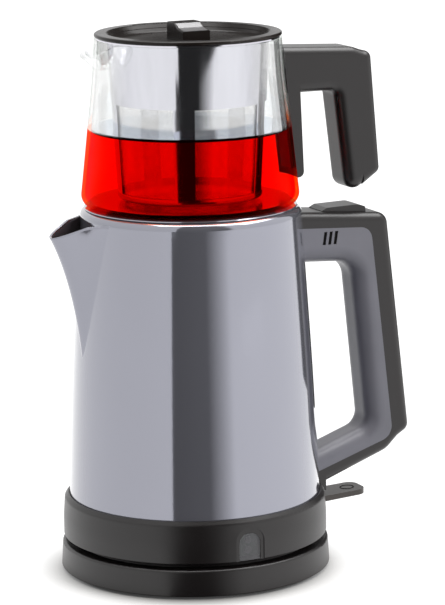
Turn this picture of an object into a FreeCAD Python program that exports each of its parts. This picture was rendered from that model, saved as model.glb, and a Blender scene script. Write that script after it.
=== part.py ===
"""Automatic tea maker: a glass teapot with a strainer, standing on a cordless kettle and its power base.

Frame: millimetres, +Z up, origin on the table under the middle of the base.
The spout points to -X, both handles to +X, and the indicator window faces -Y.
"""
import FreeCAD, Part
import math
import os
import re
import Sketcher

V = FreeCAD.Vector

# Driving dimensions in millimetres and degrees. A height is a Z value, a radius is from the Z axis.
DIMENSIONS = {
    # Power base.
    "base_radius": 80.0,
    "base_top_radius": 79.0,
    "base_edge": 1.2,
    "base_top": 16.8,
    "plateau_radius": 70.0,
    "plateau_top": 19.2,
    "base_wall": 2.2,
    "plate_thickness": 2.2,
    "plate_radius": 77.2,
    "foot_radius": 7.0,
    "foot_circle": 58.0,
    "foot_peg_radius": 2.5,
    "foot_peg_hole": 2.6,
    "boss_circle": 62.0,
    "boss_radius": 4.0,
    "screw_radius": 1.4,
    "screw_hole": 1.46,
    "screw_head_radius": 2.7,
    "screw_head": 0.9,
    "cord_hole_radius": 4.6,
    "cord_hole_height": 9.0,
    "cord_bore_radius": 3.4,
    "cord_bush_start": 73.0,
    # Connector between base and kettle.
    "hub_radius": 19.0,
    "hub_top": 30.0,
    "hub_neck_radius": 14.9,
    "hub_shoulder": 26.4,
    "hub_flange_radius": 24.0,
    "hub_bottom": 8.0,
    "slot_floor": 21.0,
    "earth_hole_radius": 3.2,
    "inner_slot_radius": 7.5,
    "outer_slot_radius": 12.3,
    "slot_half_width": 1.0,
    "contact_half_width": 0.5,
    "earth_pin_radius": 2.6,
    "contact_tip": 22.0,
    "ring_outer_radius": 18.4,
    "ring_inner_radius": 14.97,
    "ring_bottom": 26.5,
    "ring_top": 29.6,
    # Kettle collar, bottom cover and switch.
    "collar_radius": 78.3,
    "collar_bottom": 20.2,
    "collar_bend": 31.0,
    "collar_brow_radius": 77.5,
    "collar_brow": 42.6,
    "collar_top_radius": 75.7,
    "collar_top": 45.0,
    "collar_wall": 2.3,
    "ledge_bottom": 38.8,
    "ledge_radius": 71.0,
    "cover_radius": 75.7,
    "cover_rest_radius": 67.4,
    "cover_rest": 19.5,
    "cover_bottom": 20.5,
    "cover_top": 22.5,
    "cover_hole": 24.2,
    "collar_boss_circle": 70.5,
    "collar_boss_radius": 3.6,
    "window_half_width": 6.5,
    "window_top": 36.3,
    "window_gap": 0.15,
    "window_radius": 77.2,
    "window_depth": 1.2,
    "recess_half_width": 8.9,
    "recess_top": 39.6,
    "recess_floor": 77.2,
    "arch_radius": 6.2,
    "led_radius": 2.2,
    "led_upper": 32.0,
    "led_lower": 25.9,
    "led_front": 75.0,
    "board_front": 73.8,
    "board_thickness": 1.4,
    "board_half_width": 6.6,
    "board_top": 38.0,
    "pivot_x": 66.0,
    "pivot_height": 30.4,
    "pivot_radius": 1.3,
    "pivot_hole": 1.37,
    "pivot_half_length": 14.0,
    "paddle_half_width": 10.0,
    "paddle_tip": 110.3,
    "paddle_tip_top": 33.9,
    "paddle_root": 60.0,
    "paddle_root_top": 31.4,
    "paddle_thickness": 3.1,
    "paddle_corner": 6.0,
    "paddle_slot_half": 10.6,
    "paddle_slot_low": 26.0,
    "paddle_slot_high": 34.4,
    # Kettle body and spout.
    "body_foot_radius": 74.6,
    "body_foot": 41.0,
    "body_knee_radius": 71.6,
    "body_knee": 112.0,
    "body_side_bend": 2500.0,
    "body_top_radius": 65.0,
    "body_top": 214.9,
    "shoulder_bend": 4.8,
    "mouth_radius": 60.8,
    "mouth_height": 216.3,
    "sheet": 0.9,
    "fit_gap": 0.12,
    "spout_foot": 141.0,
    "spout_head": 212.0,
    "spout_mouth_tip": 203.7,
    "spout_mouth_side": 211.2,
    "spout_mouth_root": 212.8,
    "spout_half_width": 20.6,
    "spout_reach": 29.5,
    "spout_sheet": 1.1,
    "spout_window_half": 11.0,
    "spout_window_low": 176.0,
    "spout_window_high": 206.0,
    "filter_gap": 1.0,
    "filter_sheet": 0.8,
    # Seat ring and kettle lid.
    "seat_top": 216.9,
    "seat_flange_radius": 62.6,
    "seat_bottom": 209.4,
    "seat_bore": 50.0,
    "seat_ledge_bore": 47.6,
    "seat_ledge": 211.0,
    "lid_radius": 49.0,
    "lid_bottom": 211.2,
    "lid_top": 214.4,
    "lid_plug_radius": 44.9,
    "lid_plug_bottom": 207.6,
    "lid_seal_radius": 47.2,
    "lid_pin_x": 54.6,
    "lid_pin_height": 213.2,
    "lid_pin_radius": 1.3,
    "lid_pin_hole": 1.37,
    "lid_pin_half_length": 16.5,
    "lid_ear_inner": 4.0,
    "lid_ear_outer": 9.4,
    "lid_ear_radius": 2.2,
    "hinge_pocket_half": 13.0,
    "hinge_pocket_x": 57.6,
    # Heating.
    "plate_edge_radius": 73.3,
    "plate_rim": 41.8,
    "heater_top": 45.6,
    "heater_sheet": 1.2,
    "heater_flat_radius": 65.0,
    "spreader_radius": 52.0,
    "spreader_thickness": 1.8,
    "element_circle": 44.0,
    "element_radius": 3.2,
    "element_angle": 300.0,
    "control_radius": 28.0,
    "control_bottom": 31.0,
    "control_top": 37.4,
    "control_skirt_outer": 23.8,
    "control_skirt_inner": 19.8,
    "control_skirt_bottom": 19.8,
    "bimetal_radius": 9.0,
    "bimetal_offset": 15.0,
    "bimetal_thickness": 0.8,
    # Kettle handle, drawn in the X-Z plane.
    "handle_half_width": 14.5,
    "handle_wall": 2.8,
    "handle_root_x": 62.0,
    "arm_root_top": 208.4,
    "grip_top_x": 123.3,
    "grip_top": 203.4,
    "heel_x": 138.0,
    "heel_height": 69.6,
    "knee_x": 122.7,
    "knee_height": 57.5,
    "foot_end_x": 80.3,
    "foot_height": 41.9,
    "foot_low": 37.5,
    "dent_x": 130.5,
    "dent_height": 65.0,
    "seam_root": 198.8,
    "seam_corner_x": 111.4,
    "seam_corner": 195.9,
    "seam_heel_x": 125.7,
    "seam_heel": 66.4,
    "seam_foot": 45.2,
    "gap_root_top": 177.3,
    "gap_corner_x": 101.1,
    "gap_corner": 174.9,
    "gap_heel_x": 111.3,
    "gap_heel": 73.2,
    "gap_root_low": 55.7,
    "outer_round": 5.2,
    "inner_round": 10.0,
    "vent_half_length": 3.9,
    "vent_half_width": 1.0,
    "vent_first_x": 80.6,
    "vent_pitch": 3.6,
    "vent_height": 191.5,
    "vent_depth": 1.6,
    # Lid button, latch, steam tube, brackets and screws.
    "button_left": 81.5,
    "button_right": 110.6,
    "button_half_width": 8.6,
    "button_slant_foot": 204.2,
    "button_left_low": 207.1,
    "button_left_top": 208.8,
    "button_right_top": 209.3,
    "button_right_low": 207.6,
    "button_bottom": 199.6,
    "button_gap": 0.35,
    "spring_x": 96.0,
    "spring_bottom": 179.4,
    "spring_radius": 3.4,
    "spring_wire": 0.5,
    "spring_pitch": 2.6,
    "tube_radius": 3.0,
    "tube_wall": 0.8,
    "tube_top_x": 113.0,
    "tube_top": 186.0,
    "tube_bottom_x": 123.2,
    "tube_bottom": 84.0,
    "bracket_half_width": 7.0,
    "upper_bracket_length": 13.0,
    "lower_bracket_length": 20.0,
    "bracket_thickness": 2.0,
    "upper_bracket_height": 188.0,
    "lower_bracket_height": 51.0,
    "upper_screw_x": 73.5,
    "lower_screw_x": 90.5,
    "screw_seat": 47.4,
    # Teapot.
    "glass_bottom": 217.2,
    "glass_foot_radius": 64.6,
    "glass_foot_bend": 6.5,
    "glass_neck_radius": 56.1,
    "glass_neck": 292.0,
    "glass_neck_bend": 260.0,
    "glass_rim_radius": 54.6,
    "glass_rim": 314.6,
    "glass_wall": 2.2,
    "lip_foot": 298.6,
    "lip_head": 307.2,
    "lip_half_width": 13.5,
    "lip_reach": 13.2,
    "lip_mouth_tip": 306.4,
    "lip_mouth_x": 66.4,
    "lip_mouth_root_x": 50.2,
    "pot_handle_half_width": 12.5,
    "pot_handle_wall": 2.4,
    "pot_outer_round": 4.5,
    "pot_inner_round": 6.4,
    "pot_root_x": 50.0,
    "pot_arm_top": 306.8,
    "pot_step_x": 101.5,
    "pot_step_top": 304.2,
    "pot_step_length": 7.0,
    "pot_step_drop": 2.6,
    "pot_grip_x": 113.8,
    "pot_grip_top": 300.7,
    "pot_heel_x": 119.5,
    "pot_heel": 229.2,
    "pot_tip_x": 97.9,
    "pot_tip": 214.26,
    "pot_bar_upper_x": 66.2,
    "pot_bar_lower_x": 68.2,
    "pot_bar_foot": 229.2,
    "pot_gap_top": 278.8,
    "pot_seam_tip_x": 108.2,
    "pot_seam_tip": 221.39,
    "pot_seam_corner_x": 102.0,
    "pot_seam_corner": 294.2,
    "pot_seam_root": 296.0,
    "pot_gap_corner_x": 90.1,
    "pot_handle_gap": 2.0,
    "pad_half_width": 6.5,
    "pad_thickness": 1.6,
    "pad_upper": 286.0,
    "pad_lower": 246.0,
    "pad_upper_half": 7.0,
    "pad_lower_half": 12.0,
    # Strainer.
    "strainer_flange_radius": 53.4,
    "strainer_flange_bottom": 314.9,
    "strainer_flange_top": 315.7,
    "strainer_top_radius": 47.2,
    "strainer_foot_radius": 42.2,
    "strainer_foot": 222.0,
    "strainer_sheet": 0.7,
    "strainer_band_low": 278.1,
    "strainer_hoop_top": 226.0,
    "window_side_angle": 7.9,
    "strainer_first_rib": -117.7,
    "mesh_sheet": 0.4,
    # Teapot lid.
    "cap_radius": 54.6,
    "cap_low": 316.0,
    "cap_top": 318.2,
    "cap_dish_radius": 47.4,
    "cap_dish_floor_radius": 43.0,
    "cap_floor": 311.4,
    "cap_sheet": 1.8,
    "cap_skirt_radius": 45.2,
    "cap_skirt_low": 305.6,
    "cap_seal_radius": 45.9,
    "cap_seal_low": 307.6,
    "cap_seal_height": 2.2,
    "tab_half_x": 8.6,
    "tab_far_y": 11.0,
    "tab_near_y": -12.0,
    "tab_far_top": 323.6,
    "tab_near_top": 319.4,
    "tab_cap_inset": 1.0,
}

WINDOWS_IN_STRAINER = 5
FEET_IN_RING = 4
SCREWS_IN_RING = 3
LEAD_SCREW = 8.0
SPOUT_WIDTH_GROWTH = 0.8
SPOUT_REACH_GROWTH = 0.9
LIP_WIDTH_GROWTH = 0.45
LIP_REACH_GROWTH = 0.62
TROUGH_SECTIONS = 8
TROUGH_CURVE = ((0.24, 0.99), (0.45, 0.93), (0.7, 0.7), (0.91, 0.31))

doc = FreeCAD.newDocument("tea_maker")
sheet = doc.addObject("Spreadsheet::Sheet", "dims")
pieces = []


# ---------------------------------------------------------------- the sheet and what is bound to it

def fill_sheet():
    """One row per driving dimension: its name, its value and the value's alias."""
    for row, (alias, size) in enumerate(DIMENSIONS.items(), start=1):
        sheet.set("A%d" % row, alias.replace("_", " "))
        sheet.set("B%d" % row, repr(size))
        sheet.setAlias("B%d" % row, alias)
    doc.recompute()


def bound(text):
    """A sheet expression from a sum that is written with bare aliases."""
    def with_sheet(match):
        word = match.group(0)
        return "dims." + word if word in DIMENSIONS else word
    return re.sub(r"[a-z_]\w*", with_sheet, str(text))


def value(text):
    """The present value of a sum of aliases."""
    return float(sheet.evalExpression(bound(text)))


def bind(item, path, text):
    """Ties a property to the sheet."""
    item.setExpression(path, bound(text))


def keep(item, node):
    """Marks an object as the sub-part that becomes parts/NODE.step."""
    item.Label = node
    pieces.append(item)
    return item


# ---------------------------------------------------------------- sketches

def new_body(name):
    """A body that may hold several separate solids."""
    body = doc.addObject("PartDesign::Body", name)
    body.AllowCompound = True
    return body


def new_sketch(body, name, plane="XZ_Plane", offset=None):
    """A sketch on one of the body's own origin planes, lifted off it by offset."""
    sketch = body.newObject("Sketcher::SketchObject", name)
    support = [item for item in body.Origin.OriginFeatures if item.Role == plane][0]
    sketch.AttachmentSupport = [(support, "")]
    sketch.MapMode = "FlatFace"
    if offset is not None:
        bind(sketch, "AttachmentOffset.Base.z", offset)
    return sketch


def fix_point(sketch, geometry, end, corner):
    """Holds a point of the sketch at a place given by two sums of aliases."""
    for kind, text in (("DistanceX", corner[0]), ("DistanceY", corner[1])):
        index = sketch.addConstraint(Sketcher.Constraint(kind, -1, 1, geometry, end, value(text)))
        bind(sketch, "Constraints[%d]" % index, text)


def corner_arc(before, corner, after, radius):
    """Tangent points, centre and turning side of an arc that rounds a corner."""
    inward = (before - corner).normalize()
    outward = (after - corner).normalize()
    half = inward.getAngle(outward) / 2.0
    reach = radius / math.tan(half)
    middle = (inward + outward).normalize()
    centre = corner + middle * (radius / math.sin(half))
    left_turn = (corner - before).cross(after - corner).z > 0
    return corner + inward * reach, corner + outward * reach, centre, left_turn


def outline(sketch, corners):
    """A closed outline of straight runs. A corner with a third sum is rounded to that radius."""
    count = len(corners)
    points = [V(value(corner[0]), value(corner[1]), 0) for corner in corners]
    starts = list(points)
    ends = list(points)
    arcs = {}
    for index, corner in enumerate(corners):
        if len(corner) < 3:
            continue
        radius = value(corner[2])
        before = points[index - 1]
        after = points[(index + 1) % count]
        entry, leave, centre, left_turn = corner_arc(before, points[index], after, radius)
        ends[index] = entry
        starts[index] = leave
        arcs[index] = (centre, radius, left_turn)
    first = sketch.GeometryCount
    for index in range(count):
        sketch.addGeometry(Part.LineSegment(starts[index], ends[(index + 1) % count]), False)
    for index, corner in enumerate(corners):
        leaving = first + index
        arriving = first + (index - 1) % count
        if index not in arcs:
            sketch.addConstraint(Sketcher.Constraint("Coincident", arriving, 2, leaving, 1))
            fix_point(sketch, leaving, 1, corner)
            continue
        round_corner(sketch, corner, arriving, leaving, ends[index], starts[index], arcs[index])


def round_corner(sketch, corner, arriving, leaving, entry, leave, arc):
    """An arc tangent to both runs, with the sharp corner kept as a construction point."""
    centre, radius, left_turn = arc
    low, high = (entry, leave) if left_turn else (leave, entry)
    angles = [math.atan2(point.y - centre.y, point.x - centre.x) for point in (low, high)]
    circle = Part.Circle(centre, V(0, 0, 1), radius)
    bend = sketch.addGeometry(Part.ArcOfCircle(circle, angles[0], angles[1]), False)
    arc_entry, arc_leave = (1, 2) if left_turn else (2, 1)
    sharp = sketch.addGeometry(Part.Point(V(value(corner[0]), value(corner[1]), 0)), True)
    fix_point(sketch, sharp, 1, corner)
    sketch.addConstraint(Sketcher.Constraint("PointOnObject", sharp, 1, arriving))
    sketch.addConstraint(Sketcher.Constraint("PointOnObject", sharp, 1, leaving))
    sketch.addConstraint(Sketcher.Constraint("Tangent", arriving, 2, bend, arc_entry))
    sketch.addConstraint(Sketcher.Constraint("Tangent", bend, arc_leave, leaving, 1))
    index = sketch.addConstraint(Sketcher.Constraint("Radius", bend, radius))
    bind(sketch, "Constraints[%d]" % index, corner[2])


def circle(sketch, centre, radius):
    """A circle whose centre and radius are sums of aliases."""
    middle = V(value(centre[0]), value(centre[1]), 0)
    ring = sketch.addGeometry(Part.Circle(middle, V(0, 0, 1), value(radius)), False)
    fix_point(sketch, ring, 3, centre)
    index = sketch.addConstraint(Sketcher.Constraint("Radius", ring, value(radius)))
    bind(sketch, "Constraints[%d]" % index, radius)


# ---------------------------------------------------------------- features

def feature(body, kind, name, sketch):
    """A sketch-based feature of a body, with its sketch set."""
    doc.recompute()
    item = body.newObject("PartDesign::" + kind, name)
    item.Profile = sketch
    return item


def revolve(body, name, corners, angle=None, plane="XZ_Plane"):
    """Turns an outline about the Z axis, all round or centred on the sketch plane by angle."""
    sketch = new_sketch(body, name + "_outline", plane)
    outline(sketch, corners)
    item = feature(body, "Revolution", name, sketch)
    item.ReferenceAxis = (sketch, ["V_Axis"])
    item.Angle = 360.0
    if angle is not None:
        item.Midplane = True
        bind(item, "Angle", angle)
    body.Tip = item
    return item


def turned(node, corners, angle=None, plane="XZ_Plane"):
    """A sub-part whose first feature is a solid of revolution."""
    body = new_body(node + "_body")
    revolve(body, node + "_turned", corners, angle, plane)
    return keep(body, node)


def pad(body, sketch, name, length, symmetric=False, reverse=False):
    """Raises a sketch by length, or by half of it to each side."""
    item = feature(body, "Pad", name, sketch)
    item.SideType = "Symmetric" if symmetric else "One side"
    item.Reversed = reverse
    bind(item, "Length", length)
    body.Tip = item
    return item


def pocket(body, sketch, name, length, symmetric=False, reverse=False):
    """Cuts a sketch into the body and makes sure that the cut took something away."""
    doc.recompute()
    before = body.Shape.Volume
    item = feature(body, "Pocket", name, sketch)
    item.SideType = "Symmetric" if symmetric else "One side"
    item.Reversed = reverse
    bind(item, "Length", length)
    body.Tip = item
    doc.recompute()
    must_be_smaller(item, before, body.Shape.Volume)
    return item


def must_be_smaller(item, before, after):
    """Stops the build when a cut has missed the solid."""
    if not after < before - 0.01:
        raise RuntimeError("%s cuts nothing: %.2f then %.2f" % (item.Name, before, after))


def around(body, item, count, angle=360.0):
    """Repeats a feature about the Z axis."""
    doc.recompute()
    pattern = body.newObject("PartDesign::PolarPattern", item.Name + "_ring")
    pattern.Originals = [item]
    pattern.Axis = ([axis for axis in body.Origin.OriginFeatures if axis.Role == "Z_Axis"][0], [""])
    body.Tip = pattern
    pattern.Angle = angle
    pattern.Occurrences = count
    return pattern


def soften(body, name, radius, wanted):
    """Rounds those edges of the body's tip that the test picks."""
    doc.recompute()
    base = body.Tip
    names = ["Edge%d" % (number + 1) for number, edge in enumerate(base.Shape.Edges) if wanted(edge)]
    if not names:
        raise RuntimeError("%s finds no edge" % name)
    item = body.newObject("PartDesign::Fillet", name)
    item.Base = (base, names)
    bind(item, "Radius", radius)
    body.Tip = item
    return item


def edge_middle(edge):
    """The point half way along an edge."""
    return edge.valueAt((edge.FirstParameter + edge.LastParameter) / 2.0)


def primitive(kind, name, sizes, at=(0, 0, 0), turn=None):
    """A Part primitive with its sizes and its place bound to the sheet."""
    item = doc.addObject("Part::" + kind, name)
    if turn is not None:
        item.Placement = FreeCAD.Placement(V(0, 0, 0), FreeCAD.Rotation(turn[0], turn[1]))
    for path, text in sizes.items():
        bind(item, path, text)
    for axis, text in zip("xyz", at):
        bind(item, "Placement.Base." + axis, text)
    return item


def join(name, items):
    """One solid from several that touch."""
    item = doc.addObject("Part::MultiFuse", name)
    item.Shapes = items
    item.Refine = True
    return item


def cut(name, base, tool):
    """The base without the tool."""
    item = doc.addObject("Part::Cut", name)
    item.Base = base
    item.Tool = tool
    return item


def group(node, items):
    """Separate solids of one kind, kept in one node."""
    item = doc.addObject("Part::Compound", node + "_group")
    item.Links = items
    return keep(item, node)


def screw(name, at, length, upwards=True):
    """A pan-head screw whose head's outer face is at the given place."""
    x, y, face = at
    sense = "+" if upwards else "-"
    head_base = face if upwards else "%s - screw_head" % face
    shank_base = "%s %s screw_head" % (face, sense)
    if not upwards:
        shank_base = "%s - screw_head - %s" % (face, length)
    head = primitive("Cylinder", name + "_head",
                     {"Radius": "screw_head_radius", "Height": "screw_head"}, (x, y, head_base))
    shank = primitive("Cylinder", name + "_shank",
                      {"Radius": "screw_radius", "Height": length}, (x, y, shank_base))
    return join(name, [head, shank])


def ring_places(circle_radius, count, first_angle):
    """Pairs of sums for places on a circle about the Z axis."""
    for index in range(count):
        angle = math.radians(first_angle + 360.0 * index / count)
        across = "%s * %.6f" % (circle_radius, math.cos(angle))
        deep = "%s * %.6f" % (circle_radius, math.sin(angle))
        yield across, deep


# ---------------------------------------------------------------- power base

def power_base():
    """The housing on its plate and feet, with the round socket in its middle."""
    housing = new_body("base_housing_body")
    revolve(housing, "base_housing_turned", [
        ("base_radius", "base_edge", "0.8"),
        ("base_top_radius", "base_top", "1.8"),
        ("plateau_radius + 1.2", "base_top"),
        ("plateau_radius", "plateau_top", "0.8"),
        ("hub_radius + 0.2", "plateau_top"),
        ("hub_radius + 0.2", "plateau_top - base_wall"),
        ("plateau_radius - base_wall", "plateau_top - base_wall"),
        ("plateau_radius - base_wall + 1.2", "base_top - base_wall"),
        ("base_top_radius - base_wall", "base_top - base_wall"),
        ("base_radius - base_wall", "base_edge"),
    ])
    bosses = new_sketch(housing, "boss_circles", "XY_Plane", "base_edge + plate_thickness + 0.1")
    for place in ring_places("boss_circle", SCREWS_IN_RING, 30.0):
        circle(bosses, place, "boss_radius")
        circle(bosses, place, "screw_hole")
    pad(housing, bosses, "bosses", "plateau_top - base_wall - base_edge - plate_thickness")
    opening = new_sketch(housing, "cord_opening", "XZ_Plane")
    circle(opening, ("0", "cord_hole_height"), "cord_hole_radius")
    pocket(housing, opening, "cord_cut", "base_radius + 5")
    keep(housing, "base_housing")

    plate = new_body("base_plate_body")
    disc = new_sketch(plate, "plate_disc", "XY_Plane", "base_edge")
    circle(disc, ("0", "0"), "plate_radius")
    for place in ring_places("boss_circle", SCREWS_IN_RING, 30.0):
        circle(disc, place, "screw_hole + 0.1")
    for place in foot_places():
        circle(disc, place, "foot_peg_hole")
    pad(plate, disc, "plate_pad", "plate_thickness")
    keep(plate, "base_plate")

    feet = []
    for number, (x, y) in enumerate(foot_places()):
        sole = primitive("Cone", "foot_sole_%d" % number, {
            "Radius1": "foot_radius - 0.4", "Radius2": "foot_radius", "Height": "base_edge"}, (x, y, "0"))
        peg = primitive("Cylinder", "foot_peg_%d" % number, {
            "Radius": "foot_peg_radius", "Height": "plate_thickness"}, (x, y, "base_edge"))
        feet.append(join("foot_%d" % number, [sole, peg]))
    group("base_feet", feet)
    screws = []
    for number, (x, y) in enumerate(ring_places("boss_circle", SCREWS_IN_RING, 30.0)):
        screws.append(screw("base_screw_%d" % number, (x, y, "base_edge - screw_head"), str(LEAD_SCREW)))
    group("base_screws", screws)
    socket()
    bush = turned_along_y("cord_bush", [
        ("cord_bore_radius", "cord_bush_start"),
        ("cord_hole_radius + 0.8", "cord_bush_start"),
        ("cord_hole_radius + 0.8", "cord_bush_start + 3.2"),
        ("cord_hole_radius - 0.05", "cord_bush_start + 3.2"),
        ("cord_hole_radius - 0.05", "base_radius - 0.3", "0.6"),
        ("cord_bore_radius", "base_radius - 0.3"),
    ])
    bind(bush, "Placement.Base.z", "cord_hole_height")


def foot_places():
    """One foot in the middle and the others in a ring."""
    yield ("0", "0")
    for place in ring_places("foot_circle", FEET_IN_RING, 45.0):
        yield place


def turned_along_y(node, corners):
    """A sub-part turned about the Y axis: each corner is a radius and a Y value."""
    body = new_body(node + "_body")
    sketch = new_sketch(body, node + "_outline", "XY_Plane")
    outline(sketch, corners)
    item = feature(body, "Revolution", node + "_turned", sketch)
    item.ReferenceAxis = (sketch, ["V_Axis"])
    item.Angle = 360.0
    body.Tip = item
    return keep(body, node)


def socket():
    """The hub that the kettle is lowered onto, its terminals and the ring that turns with the kettle."""
    corners = [
        ("0", "hub_bottom"),
        ("hub_radius - 2", "hub_bottom"),
        ("hub_radius - 2", "plateau_top - base_wall - 3"),
        ("hub_flange_radius", "plateau_top - base_wall - 3"),
        ("hub_flange_radius", "plateau_top - base_wall - 0.1"),
        ("hub_radius", "plateau_top - base_wall - 0.1"),
        ("hub_radius", "hub_shoulder"),
        ("hub_neck_radius", "hub_shoulder"),
        ("hub_neck_radius", "hub_top"),
    ]
    for slot in ("outer_slot_radius", "inner_slot_radius"):
        corners += [
            (slot + " + slot_half_width", "hub_top"),
            (slot + " + slot_half_width", "slot_floor"),
            (slot + " - slot_half_width", "slot_floor"),
            (slot + " - slot_half_width", "hub_top"),
        ]
    corners += [
        ("earth_hole_radius", "hub_top"),
        ("earth_hole_radius", "slot_floor - 1"),
        ("0", "slot_floor - 1"),
    ]
    turned("socket_hub", corners)
    turned("socket_ring", [
        ("ring_inner_radius", "ring_bottom"),
        ("ring_outer_radius", "ring_bottom"),
        ("ring_outer_radius", "ring_top", "0.5"),
        ("ring_inner_radius", "ring_top"),
    ])
    blades = []
    for number, place in enumerate(("-inner_slot_radius - 4", "-1.5", "outer_slot_radius - 3")):
        blades.append(primitive("Box", "terminal_%d" % number, {
            "Length": "3", "Width": "6", "Height": "3.4"}, (place, "-3", "hub_bottom - 3.4")))
    group("socket_terminals", blades)


# ---------------------------------------------------------------- kettle: collar, cover and switch

def kettle_foot():
    """The black collar with its window and switch slot, and the cover that closes it from below."""
    collar = new_body("collar_body")
    revolve(collar, "collar_turned", [
        ("collar_radius", "collar_bottom", "0.8"),
        ("collar_radius", "collar_bend", "60"),
        ("collar_brow_radius", "collar_brow", "2.6"),
        ("collar_top_radius", "collar_top"),
        ("body_foot_radius + fit_gap", "collar_top"),
        ("body_foot_radius + fit_gap", "body_foot - 0.1"),
        ("ledge_radius", "body_foot - 0.1"),
        ("ledge_radius", "ledge_bottom"),
        ("collar_radius - collar_wall", "ledge_bottom"),
        ("collar_radius - collar_wall", "collar_bottom"),
    ])
    bosses = new_sketch(collar, "collar_boss_circles", "XY_Plane", "cover_top + 0.1")
    for place in ring_places("collar_boss_circle", SCREWS_IN_RING, 90.0):
        circle(bosses, place, "collar_boss_radius")
        circle(bosses, place, "screw_hole")
    pad(collar, bosses, "collar_bosses", "ledge_bottom + 0.4 - cover_top")
    recess = new_sketch(collar, "window_recess", "XZ_Plane", "recess_floor")
    arch(recess, "recess_half_width", "recess_top", "arch_radius + 2")
    pocket(collar, recess, "window_recess_cut", "5", reverse=True)
    hole = new_sketch(collar, "window_hole", "XZ_Plane", "board_front - 3")
    arch(hole, "window_half_width + window_gap", "window_top + window_gap", "arch_radius")
    pocket(collar, hole, "window_cut", "12", reverse=True)
    slot = new_sketch(collar, "paddle_slot", "YZ_Plane", "collar_radius - collar_wall - 3")
    outline(slot, [
        ("-paddle_slot_half", "paddle_slot_low", "1"),
        ("paddle_slot_half", "paddle_slot_low", "1"),
        ("paddle_slot_half", "paddle_slot_high", "1"),
        ("-paddle_slot_half", "paddle_slot_high", "1"),
    ])
    pocket(collar, slot, "paddle_slot_cut", "12", reverse=True)
    keep(collar, "collar")

    cover = new_body("bottom_cover_body")
    revolve(cover, "bottom_cover_turned", [
        ("cover_hole", "cover_rest"),
        ("cover_rest_radius", "cover_rest"),
        ("cover_rest_radius", "cover_bottom"),
        ("cover_radius", "cover_bottom"),
        ("cover_radius", "cover_top"),
        ("cover_hole", "cover_top"),
    ])
    ears = new_sketch(cover, "pivot_ears", "XZ_Plane")
    outline(ears, [
        ("pivot_x - 3", "cover_top - 0.5"),
        ("pivot_x + 3", "cover_top - 0.5"),
        ("pivot_x + 3", "pivot_height + 3", "2.6"),
        ("pivot_x - 3", "pivot_height + 3", "2.6"),
    ])
    pad(cover, ears, "ears_pad", "2 * pivot_half_length - 0.6", symmetric=True)
    between = new_sketch(cover, "between_ears", "XZ_Plane")
    outline(between, [
        ("pivot_x - 5", "cover_top"),
        ("pivot_x + 5", "cover_top"),
        ("pivot_x + 5", "pivot_height + 5"),
        ("pivot_x - 5", "pivot_height + 5"),
    ])
    pocket(cover, between, "between_ears_cut", "2 * paddle_slot_half", symmetric=True)
    bore = new_sketch(cover, "pivot_bore", "XZ_Plane")
    circle(bore, ("pivot_x", "pivot_height"), "pivot_radius + 0.02")
    pocket(cover, bore, "pivot_bore_cut", "3 * pivot_half_length", symmetric=True)
    holes = new_sketch(cover, "cover_screw_holes", "XY_Plane", "cover_top + 1")
    for place in ring_places("collar_boss_circle", SCREWS_IN_RING, 90.0):
        circle(holes, place, "screw_hole + 0.1")
    pocket(cover, holes, "cover_screw_cut", "5")
    keep(cover, "bottom_cover")
    screws = []
    for number, (x, y) in enumerate(ring_places("collar_boss_circle", SCREWS_IN_RING, 90.0)):
        screws.append(screw("cover_screw_%d" % number, (x, y, "cover_bottom - screw_head"), "10"))
    group("cover_screws", screws)

    pin_along_y("switch_pin", "pivot_x", "pivot_height", "pivot_radius", "pivot_half_length - 0.4")
    paddle = new_body("switch_paddle_body")
    side = new_sketch(paddle, "paddle_side", "XZ_Plane")
    outline(side, [
        ("paddle_root", "paddle_root_top - paddle_thickness - 0.6"),
        ("paddle_tip", "paddle_tip_top - paddle_thickness"),
        ("paddle_tip", "paddle_tip_top"),
        ("paddle_root", "paddle_root_top"),
    ])
    pad(paddle, side, "paddle_pad", "2 * paddle_half_width", symmetric=True)
    barrel = new_sketch(paddle, "paddle_barrel", "XZ_Plane")
    circle(barrel, ("pivot_x", "pivot_height"), "pivot_radius + 1.7")
    pad(paddle, barrel, "barrel_pad", "2 * paddle_half_width", symmetric=True)
    barrel_bore = new_sketch(paddle, "barrel_bore", "XZ_Plane")
    circle(barrel_bore, ("pivot_x", "pivot_height"), "pivot_hole")
    pocket(paddle, barrel_bore, "barrel_bore_cut", "4 * paddle_half_width", symmetric=True)
    tip = value("paddle_tip")
    soften(paddle, "paddle_corners", "paddle_corner",
           lambda edge: edge_middle(edge).x > tip - 0.1 and edge.Length < value("paddle_thickness") + 0.1)
    keep(paddle, "switch_paddle")


def arch(sketch, half_width, top, bend):
    """A round-headed opening that starts under the collar."""
    outline(sketch, [
        ("-(%s)" % half_width, "collar_bottom - 2"),
        (half_width, "collar_bottom - 2"),
        (half_width, top, bend),
        ("-(%s)" % half_width, top, bend),
    ])


def pin_along_y(node, x, height, radius, half_length):
    """A plain hinge pin that lies along Y."""
    body = new_body(node + "_body")
    sketch = new_sketch(body, node + "_circle", "XZ_Plane")
    circle(sketch, (x, height), radius)
    pad(body, sketch, node + "_pad", "2 * (%s)" % half_length, symmetric=True)
    return keep(body, node)


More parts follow.
